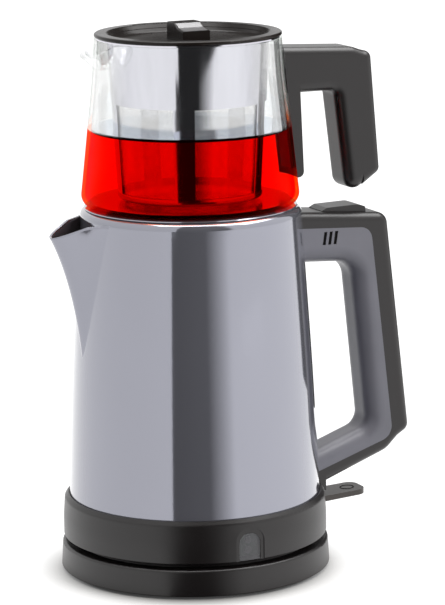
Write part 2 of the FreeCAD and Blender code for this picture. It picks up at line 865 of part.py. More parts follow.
def indicator():
    """The smoked window on the collar, with two lamps on a board behind it."""
    lens = new_body("indicator_window_body")
    revolve(lens, "window_turned", [
        ("-window_radius", "collar_bottom + 0.2"),
        ("-window_radius + window_depth", "collar_bottom + 0.2"),
        ("-window_radius + window_depth", "window_top"),
        ("-window_radius", "window_top"),
    ], "2 * asin(window_half_width / window_radius)", "YZ_Plane")
    top = value("window_top")
    soften(lens, "window_arch", "arch_radius - 0.3",
           lambda edge: edge.BoundBox.ZMin > top - 0.01 and edge.Length < value("window_depth") + 0.1)
    keep(lens, "indicator_window")
    lamps = []
    for number, height in enumerate(("led_upper", "led_lower")):
        lamps.append(primitive("Cylinder", "led_%d" % number, {
            "Radius": "led_radius", "Height": "led_front - board_front"},
            ("0", "-board_front", height), (V(1, 0, 0), 90)))
    group("indicator_leds", lamps)
    board = new_body("led_board_body")
    face = new_sketch(board, "board_face", "XZ_Plane", "board_front - board_thickness")
    outline(face, [
        ("-board_half_width", "cover_top"),
        ("board_half_width", "cover_top"),
        ("board_half_width", "board_top", "1"),
        ("-board_half_width", "board_top", "1"),
    ])
    pad(board, face, "board_pad", "board_thickness")
    keep(board, "led_board")


# ---------------------------------------------------------------- kettle: body, spout, seat and lid

def wall_radius(height):
    """The radius of the straight upper side of the kettle body at a height."""
    slope = "(body_knee_radius - body_top_radius) / (body_top - body_knee)"
    return "(body_top_radius + (body_top - (%s)) * %s)" % (height, slope)


def body_side(offset):
    """The side of the kettle body, from its foot up to the shoulder, offset outwards."""
    return [
        ("body_foot_radius + (%s)" % offset, "body_foot"),
        ("body_knee_radius + (%s)" % offset, "body_knee", "body_side_bend"),
    ]


def kettle_space():
    """The room that the kettle body and collar take up, as a tool that trims the pieces on them."""
    space = new_body("kettle_space_body")
    revolve(space, "kettle_space_turned", [
        ("0", "body_foot - 12"),
        ("collar_radius + fit_gap", "body_foot - 12"),
        ("collar_radius + fit_gap", "collar_bend"),
        ("collar_brow_radius + fit_gap", "collar_brow"),
        ("collar_top_radius + fit_gap", "collar_top + fit_gap"),
        ("body_foot_radius + fit_gap - 0.17", "collar_top + fit_gap"),
        ("body_knee_radius + fit_gap", "body_knee", "body_side_bend"),
        ("body_top_radius + fit_gap", "body_top"),
        ("0", "body_top"),
    ])
    return space


def kettle_shell():
    """The drawn steel body, its spout, the strainer plate behind the spout and the seat of the teapot."""
    shell = new_body("kettle_body_body")
    revolve(shell, "kettle_body_turned", body_side("0") + [
        ("body_top_radius", "body_top", "shoulder_bend"),
        ("mouth_radius", "mouth_height"),
        ("mouth_radius", "mouth_height - sheet"),
        ("body_top_radius - sheet", "body_top - sheet", "shoulder_bend - sheet"),
        ("body_knee_radius - sheet", "body_knee", "body_side_bend"),
        ("body_foot_radius - sheet", "body_foot"),
    ])
    window = new_sketch(shell, "spout_window", "YZ_Plane", "0")
    outline(window, [
        ("-spout_window_half * 0.5", "spout_window_low", "3"),
        ("spout_window_half * 0.5", "spout_window_low", "3"),
        ("spout_window_half", "spout_window_high", "4"),
        ("-spout_window_half", "spout_window_high", "4"),
    ])
    pocket(shell, window, "spout_window_cut", "body_foot_radius + 4")
    keep(shell, "kettle_body")

    strainer = new_body("spout_filter_body")
    inside = "- sheet - filter_gap"
    low = wall_radius("spout_window_low - 4")
    high = wall_radius("spout_window_high + 1.5")
    revolve(strainer, "spout_filter_turned", [
        ("-(%s %s)" % (low, inside), "spout_window_low - 4"),
        ("-(%s %s - filter_sheet)" % (low, inside), "spout_window_low - 4"),
        ("-(%s %s - filter_sheet)" % (high, inside), "spout_window_high + 1.5"),
        ("-(%s %s)" % (high, inside), "spout_window_high + 1.5"),
    ], "26")
    slots = new_sketch(strainer, "filter_slots", "YZ_Plane", "0")
    for row in range(6):
        low = "spout_window_low + %.1f" % (1.0 + 5.0 * row)
        outline(slots, [("-9", low), ("9", low), ("9", low + " + 2.4"), ("-9", low + " + 2.4")])
    pocket(strainer, slots, "filter_slot_cut", "body_foot_radius")
    keep(strainer, "spout_filter")


def seat_and_lid():
    """The ring that carries the teapot, and the hinged lid inside it."""
    seat = new_body("seat_ring_body")
    revolve(seat, "seat_turned", [
        ("seat_ledge_bore", "seat_bottom"),
        ("mouth_radius - 0.2", "seat_bottom"),
        ("mouth_radius - 0.2", "mouth_height + 0.05"),
        ("seat_flange_radius", "mouth_height + 0.05"),
        ("seat_flange_radius - 0.4", "seat_top"),
        ("seat_bore", "seat_top"),
        ("seat_bore", "seat_ledge"),
        ("seat_ledge_bore", "seat_ledge"),
    ])
    hinge_pocket = new_sketch(seat, "hinge_pocket", "XZ_Plane")
    outline(hinge_pocket, [
        ("seat_ledge_bore - 6", "seat_bottom + 0.8"),
        ("hinge_pocket_x", "seat_bottom + 0.8"),
        ("hinge_pocket_x", "seat_top + 2"),
        ("seat_ledge_bore - 6", "seat_top + 2"),
    ])
    pocket(seat, hinge_pocket, "hinge_pocket_cut", "2 * hinge_pocket_half", symmetric=True)
    bore = new_sketch(seat, "lid_pin_bore", "XZ_Plane")
    circle(bore, ("lid_pin_x", "lid_pin_height"), "lid_pin_radius + 0.02")
    pocket(seat, bore, "lid_pin_bore_cut", "2 * lid_pin_half_length + 0.2", symmetric=True)
    keep(seat, "seat_ring")
    pin_along_y("lid_hinge_pin", "lid_pin_x", "lid_pin_height", "lid_pin_radius", "lid_pin_half_length")

    lid = new_body("kettle_lid_body")
    revolve(lid, "kettle_lid_turned", [
        ("0", "lid_plug_bottom"),
        ("lid_plug_radius", "lid_plug_bottom"),
        ("lid_plug_radius", "lid_bottom"),
        ("lid_radius", "lid_bottom"),
        ("lid_radius", "lid_top", "0.8"),
        ("0", "lid_top"),
    ])
    hollow = new_sketch(lid, "lid_hollow", "XY_Plane", "lid_bottom + 1.4")
    circle(hollow, ("0", "0"), "lid_plug_radius - 1.6")
    pocket(lid, hollow, "lid_hollow_cut", "8")
    ears = new_sketch(lid, "lid_ears", "XZ_Plane")
    outline(ears, [
        ("lid_radius - 4", "lid_bottom + 0.1"),
        ("lid_pin_x + lid_ear_radius", "lid_bottom + 0.1", "1.2"),
        ("lid_pin_x + lid_ear_radius", "lid_pin_height + lid_ear_radius", "1.2"),
        ("lid_radius - 4", "lid_pin_height + lid_ear_radius - 1"),
    ])
    pad(lid, ears, "lid_ears_pad", "2 * lid_ear_outer", symmetric=True)
    between = new_sketch(lid, "between_lid_ears", "XZ_Plane")
    outline(between, [
        ("lid_radius + 0.2", "lid_bottom - 2"),
        ("lid_pin_x + 6", "lid_bottom - 2"),
        ("lid_pin_x + 6", "lid_top + 4"),
        ("lid_radius + 0.2", "lid_top + 4"),
    ])
    pocket(lid, between, "between_lid_ears_cut", "2 * lid_ear_inner", symmetric=True)
    ear_bore = new_sketch(lid, "lid_ear_bore", "XZ_Plane")
    circle(ear_bore, ("lid_pin_x", "lid_pin_height"), "lid_pin_hole")
    pocket(lid, ear_bore, "lid_ear_bore_cut", "4 * lid_ear_outer", symmetric=True)
    vent = new_sketch(lid, "steam_vents", "XY_Plane", "lid_top + 1")
    for place in ring_places("18", 6, 0.0):
        circle(vent, place, "2.6")
    pocket(lid, vent, "steam_vent_cut", "8")
    keep(lid, "kettle_lid")
    turned("kettle_lid_seal", [
        ("lid_plug_radius + 0.02", "lid_plug_bottom + 0.6"),
        ("lid_seal_radius", "lid_plug_bottom + 1.6"),
        ("lid_seal_radius", "lid_bottom - 0.5"),
        ("lid_plug_radius + 0.02", "lid_bottom - 0.02"),
    ])


# ---------------------------------------------------------------- kettle: heating

def heating():
    """The heated bottom, the element under it and the control that cuts it off."""
    turned("heating_plate", [
        ("0", "heater_top - heater_sheet"),
        ("heater_flat_radius", "heater_top - heater_sheet"),
        ("heater_flat_radius + 3.6", "plate_rim"),
        ("plate_edge_radius", "plate_rim"),
        ("plate_edge_radius", "plate_rim + heater_sheet"),
        ("heater_flat_radius + 4.4", "plate_rim + heater_sheet"),
        ("heater_flat_radius + 0.8", "heater_top"),
        ("0", "heater_top"),
    ])
    turned("plate_gasket", [
        ("plate_edge_radius - 2.6", "plate_rim + heater_sheet + 0.02"),
        ("plate_edge_radius", "plate_rim + heater_sheet + 0.02"),
        ("plate_edge_radius", "plate_rim + heater_sheet + 2"),
        ("plate_edge_radius - 2.6", "plate_rim + heater_sheet + 2", "0.8"),
    ])
    underside = "heater_top - heater_sheet"
    turned("heat_spreader", [
        ("0", underside + " - spreader_thickness"),
        ("spreader_radius", underside + " - spreader_thickness", "0.5"),
        ("spreader_radius", underside),
        ("0", underside),
    ])
    height = underside + " - spreader_thickness - element_radius"
    tube = primitive("Torus", "element_tube", {
        "Radius1": "element_circle", "Radius2": "element_radius", "Angle3": "element_angle"},
        ("0", "0", height), (V(0, 0, 1), 30))
    ends = [tube]
    for number, angle in enumerate((30.0, 30.0 + DIMENSIONS["element_angle"])):
        x = "element_circle * %.6f" % math.cos(math.radians(angle))
        y = "element_circle * %.6f" % math.sin(math.radians(angle))
        ends.append(primitive("Cylinder", "cold_pin_%d" % number, {
            "Radius": "1.6", "Height": "9"}, (x, y, height + " - 9")))
    keep(join("heating_element_tube", ends), "heating_element")

    turned("control_unit", [
        ("0", "control_bottom"),
        ("control_skirt_inner", "control_bottom"),
        ("control_skirt_inner", "control_skirt_bottom"),
        ("control_skirt_outer", "control_skirt_bottom"),
        ("control_skirt_outer", "cover_top + 0.2"),
        ("control_radius", "cover_top + 0.2"),
        ("control_radius", "control_top", "1.5"),
        ("0", "control_top"),
    ])
    discs = []
    for number, side in enumerate(("bimetal_offset", "-bimetal_offset")):
        discs.append(primitive("Cylinder", "bimetal_%d" % number, {
            "Radius": "bimetal_radius", "Height": "bimetal_thickness"}, (side, "0", "control_top + 0.02")))
    group("bimetal_discs", discs)
    pin = primitive("Cylinder", "earth_pin", {
        "Radius": "earth_pin_radius", "Height": "control_bottom - contact_tip"}, ("0", "0", "contact_tip"))
    contacts = [pin]
    for name, middle in (("line_contact", "inner_slot_radius"), ("neutral_contact", "outer_slot_radius")):
        outer = primitive("Cylinder", name + "_outer", {
            "Radius": middle + " + contact_half_width", "Height": "control_bottom - contact_tip"},
            ("0", "0", "contact_tip"))
        inner = primitive("Cylinder", name + "_inner", {
            "Radius": middle + " - contact_half_width", "Height": "control_bottom - contact_tip + 2"},
            ("0", "0", "contact_tip - 1"))
        contacts.append(cut(name, outer, inner))
    group("plug_contacts", contacts)


# ---------------------------------------------------------------- kettle handle

SEAM = [
    ("handle_root_x", "seam_foot"),
    ("seam_heel_x", "seam_heel", "9"),
    ("seam_corner_x", "seam_corner", "8"),
    ("handle_root_x", "seam_root"),
]


def distance_to_run(point, corners):
    """How far a point of the X-Z plane is from a chain of straight runs."""
    best = 1e9
    places = [V(value(corner[0]), 0, value(corner[1])) for corner in corners]
    flat = V(point.x, 0, point.z)
    for start, end in zip(places, places[1:]):
        run = end - start
        share = max(0.0, min(1.0, (flat - start).dot(run) / run.dot(run)))
        best = min(best, (flat - start - run * share).Length)
    return best


def handle_cavity(body, name, corners, half_width):
    """Hollows a handle piece, leaving its two side walls."""
    sketch = new_sketch(body, name, "XZ_Plane")
    outline(sketch, corners)
    pocket(body, sketch, name + "_cut", "2 * (%s)" % half_width, symmetric=True)


def counterbore(body, name, below, seat, x):
    """A screw hole along Z through a handle wall, with a wider bore up to the seat of the head."""
    head = new_sketch(body, name + "_head", "XY_Plane", below)
    circle(head, (x, "0"), "screw_head_radius + 0.2")
    pocket(body, head, name + "_head_cut", "%s - (%s)" % (seat, below), reverse=True)
    shank = new_sketch(body, name + "_shank", "XY_Plane", below)
    circle(shank, (x, "0"), "screw_hole + 0.1")
    pocket(body, shank, name + "_shank_cut", "%s - (%s) + 3" % (seat, below), reverse=True)


def kettle_handle(space):
    """The black outer shell and the grey inner shell, both hollow, with what is inside them."""
    cavity = [
        ("handle_root_x - 9", "arm_root_top - handle_wall"),
        ("grip_top_x - handle_wall", "grip_top - handle_wall", "5"),
        ("heel_x - handle_wall - 0.5", "heel_height + handle_wall * 0.5", "3"),
        ("dent_x - 1.4", "dent_height + handle_wall", "5"),
        ("knee_x - 2", "knee_height + handle_wall", "14"),
        ("foot_end_x", "foot_height + handle_wall + 0.2"),
        ("handle_root_x", "foot_height + handle_wall - 0.2"),
        ("handle_root_x", "gap_root_low - handle_wall"),
        ("gap_heel_x + handle_wall", "gap_heel - handle_wall * 0.7", "6"),
        ("gap_corner_x + handle_wall", "gap_corner + handle_wall", "9"),
        ("handle_root_x - 9", "gap_root_top + handle_wall * 1.2"),
    ]
    outer = new_body("handle_outer_body")
    rim = new_sketch(outer, "handle_outer_outline", "XZ_Plane")
    outline(rim, [
        ("handle_root_x", "arm_root_top"),
        ("grip_top_x", "grip_top", "7"),
        ("heel_x", "heel_height", "5.6"),
        ("dent_x", "dent_height", "8"),
        ("knee_x", "knee_height", "14"),
        ("foot_end_x", "foot_height"),
        ("foot_end_x", "foot_low"),
        ("handle_root_x + 8", "foot_low"),
        ("handle_root_x + 8", "seam_foot + 8 * (seam_heel - seam_foot) / (seam_heel_x - handle_root_x)"),
    ] + SEAM[1:])
    pad(outer, rim, "handle_outer_pad", "2 * handle_half_width", symmetric=True)
    half = value("handle_half_width")

    def on_outer_rim(edge):
        """Whether an edge runs along the outside of the handle on either side face."""
        middle = edge_middle(edge)
        if abs(edge.BoundBox.YMax - edge.BoundBox.YMin) > 0.01 or abs(abs(middle.y) - half) > 0.01:
            return False
        return distance_to_run(middle, SEAM) > 4.5 and middle.x > value("foot_end_x") + 1

    soften(outer, "handle_outer_round", "outer_round", on_outer_rim)
    handle_cavity(outer, "handle_outer_cavity", cavity, "handle_half_width - handle_wall")
    button_hole = new_sketch(outer, "button_hole", "XY_Plane", "grip_top - handle_wall - 0.5")
    outline(button_hole, [
        ("button_left - button_gap", "-button_half_width - button_gap"),
        ("button_right + button_gap", "-button_half_width - button_gap"),
        ("button_right + button_gap", "button_half_width + button_gap"),
        ("button_left - button_gap", "button_half_width + button_gap"),
    ])
    pocket(outer, button_hole, "button_hole_cut", "20", reverse=True)
    counterbore(outer, "handle_outer_screw", "foot_height - 3", "screw_seat", "lower_screw_x")
    keep(cut("handle_outer_trimmed", outer, space), "handle_outer")

    inner = new_body("handle_inner_body")
    shape = new_sketch(inner, "handle_inner_outline", "XZ_Plane")
    outline(shape, SEAM + [
        ("handle_root_x", "gap_root_top"),
        ("gap_corner_x", "gap_corner", "12"),
        ("gap_heel_x", "gap_heel", "9"),
        ("handle_root_x", "gap_root_low"),
    ])
    pad(inner, shape, "handle_inner_pad", "2 * handle_half_width", symmetric=True)

    def on_finger_gap(edge):
        """Whether an edge runs along the finger gap on either side face."""
        middle = edge_middle(edge)
        if abs(edge.BoundBox.YMax - edge.BoundBox.YMin) > 0.01 or abs(abs(middle.y) - half) > 0.01:
            return False
        return distance_to_run(middle, SEAM) > 4.5 and middle.x > value("handle_root_x") + 1

    soften(inner, "handle_inner_round", "inner_round", on_finger_gap)
    handle_cavity(inner, "handle_inner_cavity", cavity, "handle_half_width - handle_wall - 1.8")
    vents = new_sketch(inner, "side_vents", "XZ_Plane", "handle_half_width - vent_depth")
    for number in range(3):
        middle = "vent_first_x + %d * vent_pitch" % number
        outline(vents, [
            (middle + " - vent_half_width - 0.6", "vent_height - vent_half_length"),
            (middle + " + vent_half_width - 0.6", "vent_height - vent_half_length"),
            (middle + " + vent_half_width + 0.6", "vent_height + vent_half_length"),
            (middle + " - vent_half_width + 0.6", "vent_height + vent_half_length"),
        ])
    pocket(inner, vents, "side_vents_cut", "4", reverse=True)
    counterbore(inner, "handle_inner_screw", "gap_root_top - 5", "gap_root_top + 0.4", "upper_screw_x")
    keep(cut("handle_inner_trimmed", inner, space), "handle_inner")


def handle_contents():
    """Brackets on the kettle body, screws, steam tube, lid button and its spring."""
    upper_left = wall_radius("upper_bracket_height") + " + 0.3"
    brackets = []
    for name, left, length in (("upper", upper_left, "upper_bracket_length"),
                               ("lower", "body_foot_radius + 0.3", "lower_bracket_length")):
        height = name + "_bracket_height"
        plate = primitive("Box", name + "_bracket_plate", {
            "Length": length,
            "Width": "2 * bracket_half_width",
            "Height": "bracket_thickness"}, (left, "-bracket_half_width", height))
        hole = primitive("Cylinder", name + "_bracket_hole", {
            "Radius": "screw_radius + 0.02",
            "Height": "bracket_thickness + 2"}, (name + "_screw_x", "0", height + " - 1"))
        brackets.append(cut(name + "_bracket", plate, hole))
    group("handle_brackets", brackets)
    group("handle_screws", [
        screw("handle_screw_upper", ("upper_screw_x", "0", "gap_root_top + 0.38 - screw_head"),
              "upper_bracket_height + bracket_thickness - gap_root_top - 0.4"),
        screw("handle_screw_lower", ("lower_screw_x", "0", "screw_seat - 0.02 - screw_head"),
              "lower_bracket_height + bracket_thickness - screw_seat"),
    ])
    lean = math.degrees(math.atan2(value("tube_top_x - tube_bottom_x"), value("tube_top - tube_bottom")))
    length = "sqrt((tube_top - tube_bottom)^2 + (tube_bottom_x - tube_top_x)^2)"
    place = ("tube_bottom_x", "0", "tube_bottom")
    outside = primitive("Cylinder", "steam_tube_outside", {
        "Radius": "tube_radius", "Height": length}, place, (V(0, 1, 0), lean))
    inside = primitive("Cylinder", "steam_tube_inside", {
        "Radius": "tube_radius - tube_wall", "Height": length + " + 1"}, place, (V(0, 1, 0), lean))
    keep(cut("steam_tube_wall", outside, inside), "steam_tube")

    button = new_body("lid_button_body")
    side = new_sketch(button, "button_side", "XZ_Plane")
    outline(side, [
        ("button_left", "button_slant_foot"),
        ("button_left", "button_left_low"),
        ("button_left + 3.4", "button_left_top", "1.6"),
        ("button_right - 5", "button_right_top", "8"),
        ("button_right", "button_right_low", "1.4"),
        ("button_right", "button_slant_foot"),
    ])
    pad(button, side, "button_cap", "2 * button_half_width", symmetric=True)
    foot = new_sketch(button, "button_foot", "XY_Plane", "button_bottom")
    outline(foot, [
        ("button_left + 1.5", "-button_half_width + 1.5"),
        ("button_right - 1.5", "-button_half_width + 1.5"),
        ("button_right - 1.5", "button_half_width - 1.5"),
        ("button_left + 1.5", "button_half_width - 1.5"),
    ])
    pad(button, foot, "button_foot_pad", "button_slant_foot - button_bottom + 0.5")
    catch = new_sketch(button, "button_catch", "XY_Plane", "button_bottom")
    outline(catch, [
        ("button_left + 1", "-button_half_width - 0.9"),
        ("button_right - 1", "-button_half_width - 0.9"),
        ("button_right - 1", "button_half_width + 0.9"),
        ("button_left + 1", "button_half_width + 0.9"),
    ])
    pad(button, catch, "button_catch_pad", "1.4")
    keep(button, "lid_button")

    rise = value("button_bottom - spring_bottom - 0.04 - 2 * spring_wire")
    coil = Part.makeHelix(value("spring_pitch"), rise, value("spring_radius"))
    section = Part.Circle(V(value("spring_radius"), 0, 0), V(0, 1, 0), value("spring_wire"))
    wire = Part.Wire([section.toShape()])
    spring = doc.addObject("Part::Feature", "button_spring_coil")
    spring.Shape = Part.Wire(coil.Edges).makePipeShell([wire], True, True)
    bind(spring, "Placement.Base.x", "spring_x")
    bind(spring, "Placement.Base.z", "spring_bottom + spring_wire")
    keep(spring, "button_spring")


# ---------------------------------------------------------------- spout and glass lip

def trough(foot, head, root, half_width, reach, growth, inset=0.0):
    """A solid whose level sections are rounded wedges that widen and reach out as they rise."""
    sections = []
    width_growth, reach_growth = growth
    first = 1.0 if inset == 0 else 2.0
    for number in range(TROUGH_SECTIONS + 1):
        share = (number + first) / (TROUGH_SECTIONS + first)
        height = foot + (head - foot) * share + inset
        wide = half_width * share ** width_growth - inset
        out = reach * (0.84 * share ** reach_growth + 0.16 * share ** 5) - inset
        wide = max(wide, 0.6)
        out = max(out, 0.5)
        x = root(height)
        back = x * 0.86
        side = [V(-back, -wide, height), V(-x * 0.985, -wide, height)]
        for share_out, share_wide in TROUGH_CURVE:
            side.append(V(-x - share_out * out, -share_wide * wide, height))
        other = [V(point.x, -point.y, height) for point in reversed(side)]
        chain = side + [V(-x - out, 0, height)] + other
        curve = Part.BSplineCurve()
        curve.interpolate(chain)
        closing = Part.LineSegment(chain[-1], chain[0])
        sections.append(Part.Wire([curve.toShape(), closing.toShape()]))
    return Part.makeLoft(sections, True, False)


def free_shape(name, shape):
    """A document object for a shape that no sketch can carry."""
    item = doc.addObject("Part::Feature", name)
    item.Shape = shape
    return item


def side_prism(name, corners, half_width):
    """A tool of constant section across the X-Z plane."""
    body = new_body(name + "_body")
    sketch = new_sketch(body, name + "_outline", "XZ_Plane")
    outline(sketch, corners)
    pad(body, sketch, name + "_pad", "2 * (%s)" % half_width, symmetric=True)
    return body


def kettle_spout(space):
    """The sheet spout that is welded on in front of the filter."""
    def root(height):
        return value(wall_radius(str(height)))

    sizes = [value(name) for name in ("spout_foot", "spout_head")]
    wide, reach, thick = value("spout_half_width"), value("spout_reach"), value("spout_sheet")
    growth = (SPOUT_WIDTH_GROWTH, SPOUT_REACH_GROWTH)
    outside = free_shape("spout_outside", trough(sizes[0], sizes[1] + 4, root, wide, reach, growth))
    inside = free_shape("spout_inside", trough(sizes[0], sizes[1] + 4, root, wide, reach, growth, thick))
    hollow = cut("spout_hollow", outside, inside)
    mouth = side_prism("spout_mouth", [
        ("-110", "spout_mouth_tip - 8"),
        ("-90", "spout_mouth_tip"),
        ("-72", "spout_mouth_side"),
        ("-55", "spout_mouth_root"),
        ("-55", "spout_mouth_root + 20"),
        ("-110", "spout_mouth_root + 20"),
    ], "40")
    trimmed = cut("spout_trimmed", hollow, mouth)
    keep(cut("spout_on_body", trimmed, space), "kettle_spout")


# ---------------------------------------------------------------- teapot

def glass_side(offset):
    """The side of the glass from its foot up to the rim, offset outwards."""
    foot = ("glass_foot_radius + (%s)", "glass_bottom - (%s)", "glass_foot_bend + (%s)")
    return [
        tuple(text % offset for text in foot),
        ("glass_neck_radius + (%s)" % offset, "glass_neck", "glass_neck_bend"),
        ("glass_rim_radius + (%s)" % offset, "glass_rim"),
    ]


def glass_space(name, offset, rise="0"):
    """A solid of the teapot's outer form, offset outwards."""
    body = new_body(name + "_body")
    side = glass_side(offset)
    side[-1] = (side[-1][0], "glass_rim + (%s)" % rise)
    revolve(body, name + "_turned", [("0", "glass_bottom - (%s)" % offset)] + side
            + [("0", "glass_rim + (%s)" % rise)])
    return body


def teapot():
    """The glass with its drawn lip, and the black and grey handle bonded to it."""
    def root(height):
        share = (height - value("glass_neck")) / value("glass_rim - glass_neck")
        return value("glass_neck_radius") + share * value("glass_rim_radius - glass_neck_radius") - 0.3

    foot, head = value("lip_foot"), value("lip_head")
    wide, reach = value("lip_half_width"), value("lip_reach")
    growth = (LIP_WIDTH_GROWTH, LIP_REACH_GROWTH)
    full = trough(foot, head, root, wide, reach, growth)
    top_face = [face for face in full.Faces if face.BoundBox.ZMin > head - 0.01][0]
    full = full.fuse(top_face.extrude(V(0, 0, 9)))
    hollow = trough(foot, head, root, wide, reach, growth, value("glass_wall"))
    top_face = [face for face in hollow.Faces if face.BoundBox.ZMin > head + value("glass_wall") - 0.01][0]
    hollow = hollow.fuse(top_face.extrude(V(0, 0, 9)))
    outside = join("glass_outside", [glass_space("glass_form", "0"), free_shape("lip_outside", full)])
    inside = join("glass_inside", [glass_space("glass_hollow", "-glass_wall", "3"),
                                   free_shape("lip_inside", hollow)])
    mouth = side_prism("lip_mouth", [
        ("-90", "lip_mouth_tip - 4"),
        ("-lip_mouth_x", "lip_mouth_tip", "6"),
        ("-lip_mouth_root_x", "glass_rim"),
        ("-lip_mouth_root_x + 12", "glass_rim"),
        ("-lip_mouth_root_x + 12", "glass_rim + 12"),
        ("-90", "glass_rim + 12"),
    ], "30")
    keep(cut("glass_trimmed", cut("glass_wall_solid", outside, inside), mouth), "teapot_glass")

    seam = [
        ("pot_root_x", "pot_seam_root"),
        ("pot_seam_corner_x", "pot_seam_corner", "8"),
        ("pot_seam_tip_x", "pot_seam_tip"),
    ]
    cavity = [
        ("pot_root_x", "pot_arm_top - pot_handle_wall"),
        ("pot_step_x", "pot_step_top - pot_handle_wall"),
        ("pot_step_x + 2", "pot_step_top - pot_step_drop - pot_handle_wall"),
        ("pot_grip_x - pot_handle_wall", "pot_grip_top - pot_handle_wall", "4"),
        ("pot_heel_x - pot_handle_wall", "pot_heel + 1"),
        ("pot_tip_x + 6", "pot_tip + 9.2"),
        ("pot_tip_x + pot_handle_wall - 0.6", "pot_tip + 9.2"),
        ("pot_gap_corner_x + pot_handle_wall", "pot_gap_top + pot_handle_wall", "4"),
        ("pot_root_x", "pot_gap_top + pot_handle_wall"),
    ]
    space = glass_space("glass_clearance", "pot_handle_gap", "4")
    half = value("pot_handle_half_width")

    outer = new_body("pot_handle_outer_body")
    shape = new_sketch(outer, "pot_handle_outer_outline", "XZ_Plane")
    outline(shape, seam[:1] + [
        ("pot_root_x", "pot_arm_top"),
        ("pot_step_x", "pot_step_top", "12"),
        ("pot_step_x + pot_step_length", "pot_step_top - pot_step_drop", "8"),
        ("pot_grip_x", "pot_grip_top", "4.6"),
        ("pot_heel_x", "pot_heel", "4.6"),
    ] + seam[:0:-1])
    pad(outer, shape, "pot_handle_outer_pad", "2 * pot_handle_half_width", symmetric=True)

    def on_outer_rim(edge):
        """Whether an edge runs along the outside of the grip on either side face."""
        middle = edge_middle(edge)
        if abs(edge.BoundBox.YMax - edge.BoundBox.YMin) > 0.01 or abs(abs(middle.y) - half) > 0.01:
            return False
        return distance_to_run(middle, seam) > 4.0 and middle.x > value("pot_root_x") + 2

    soften(outer, "pot_handle_outer_round", "pot_outer_round", on_outer_rim)
    handle_cavity(outer, "pot_handle_outer_cavity", cavity, "pot_handle_half_width - pot_handle_wall")
    keep(cut("pot_handle_outer_trimmed", outer, space), "teapot_handle_outer")

    inner = new_body("pot_handle_inner_body")
    shape = new_sketch(inner, "pot_handle_inner_outline", "XZ_Plane")
    outline(shape, seam + [
        ("pot_tip_x", "pot_tip", "pot_inner_round + 0.2"),
        ("pot_gap_corner_x", "pot_gap_top", "4"),
        ("pot_bar_upper_x", "pot_gap_top"),
        ("pot_bar_lower_x", "pot_bar_foot", "3.5"),
        ("pot_root_x", "pot_bar_foot"),
    ])
    pad(inner, shape, "pot_handle_inner_pad", "2 * pot_handle_half_width", symmetric=True)

    def on_open_side(edge):
        """Whether an edge runs along the finger gap on either side face."""
        middle = edge_middle(edge)
        if abs(edge.BoundBox.YMax - edge.BoundBox.YMin) > 0.01 or abs(abs(middle.y) - half) > 0.01:
            return False
        return distance_to_run(middle, seam) > 4.0 and middle.x > value("pot_bar_lower_x") + 1

    soften(inner, "pot_handle_inner_round", "pot_inner_round", on_open_side)
    handle_cavity(inner, "pot_handle_inner_cavity", cavity, "pot_handle_half_width - pot_handle_wall - 1")
    keep(cut("pot_handle_inner_trimmed", inner, space), "teapot_handle_inner")

    pads = new_body("handle_pads_body")
    pad_rows(pads)
    keep(pads, "handle_pads")


def glass_radius(height):
    """The outer radius of the glass at a height between the pads, as a straight taper."""
    slope = "(glass_foot_radius - glass_neck_radius) / (glass_neck - glass_bottom)"
    return "glass_neck_radius + (glass_neck - (%s)) * %s" % (height, slope)


def pad_rows(body):
    """Two thin bonding pads between glass and handle."""
    sketch = new_sketch(body, "pads_outline", "XZ_Plane")
    for middle, reach in (("pad_upper", "pad_upper_half"), ("pad_lower", "pad_lower_half")):
        low = glass_radius("%s - %s" % (middle, reach))
        high = glass_radius("%s + %s" % (middle, reach))
        sag = " + 0.16" if middle == "pad_upper" else " + 0.1"
        outline(sketch, [
            (low + sag, "%s - %s" % (middle, reach)),
            (low + sag + " + pad_thickness", "%s - %s" % (middle, reach)),
            (high + sag + " + pad_thickness", "%s + %s" % (middle, reach)),
            (high + sag, "%s + %s" % (middle, reach)),
        ])
    item = feature(body, "Revolution", "pads_turned", sketch)
    item.ReferenceAxis = (sketch, ["V_Axis"])
    item.Midplane = True
    bind(item, "Angle", "2 * asin(pad_half_width / glass_foot_radius)")
    body.Tip = item


# ---------------------------------------------------------------- strainer and teapot lid

def basket_radius(height):
    """The outer radius of the tapering strainer wall at a height."""
    slope = "(strainer_top_radius - strainer_foot_radius) / (strainer_flange_bottom - strainer_foot)"
    return "strainer_foot_radius + ((%s) - strainer_foot) * %s" % (height, slope)


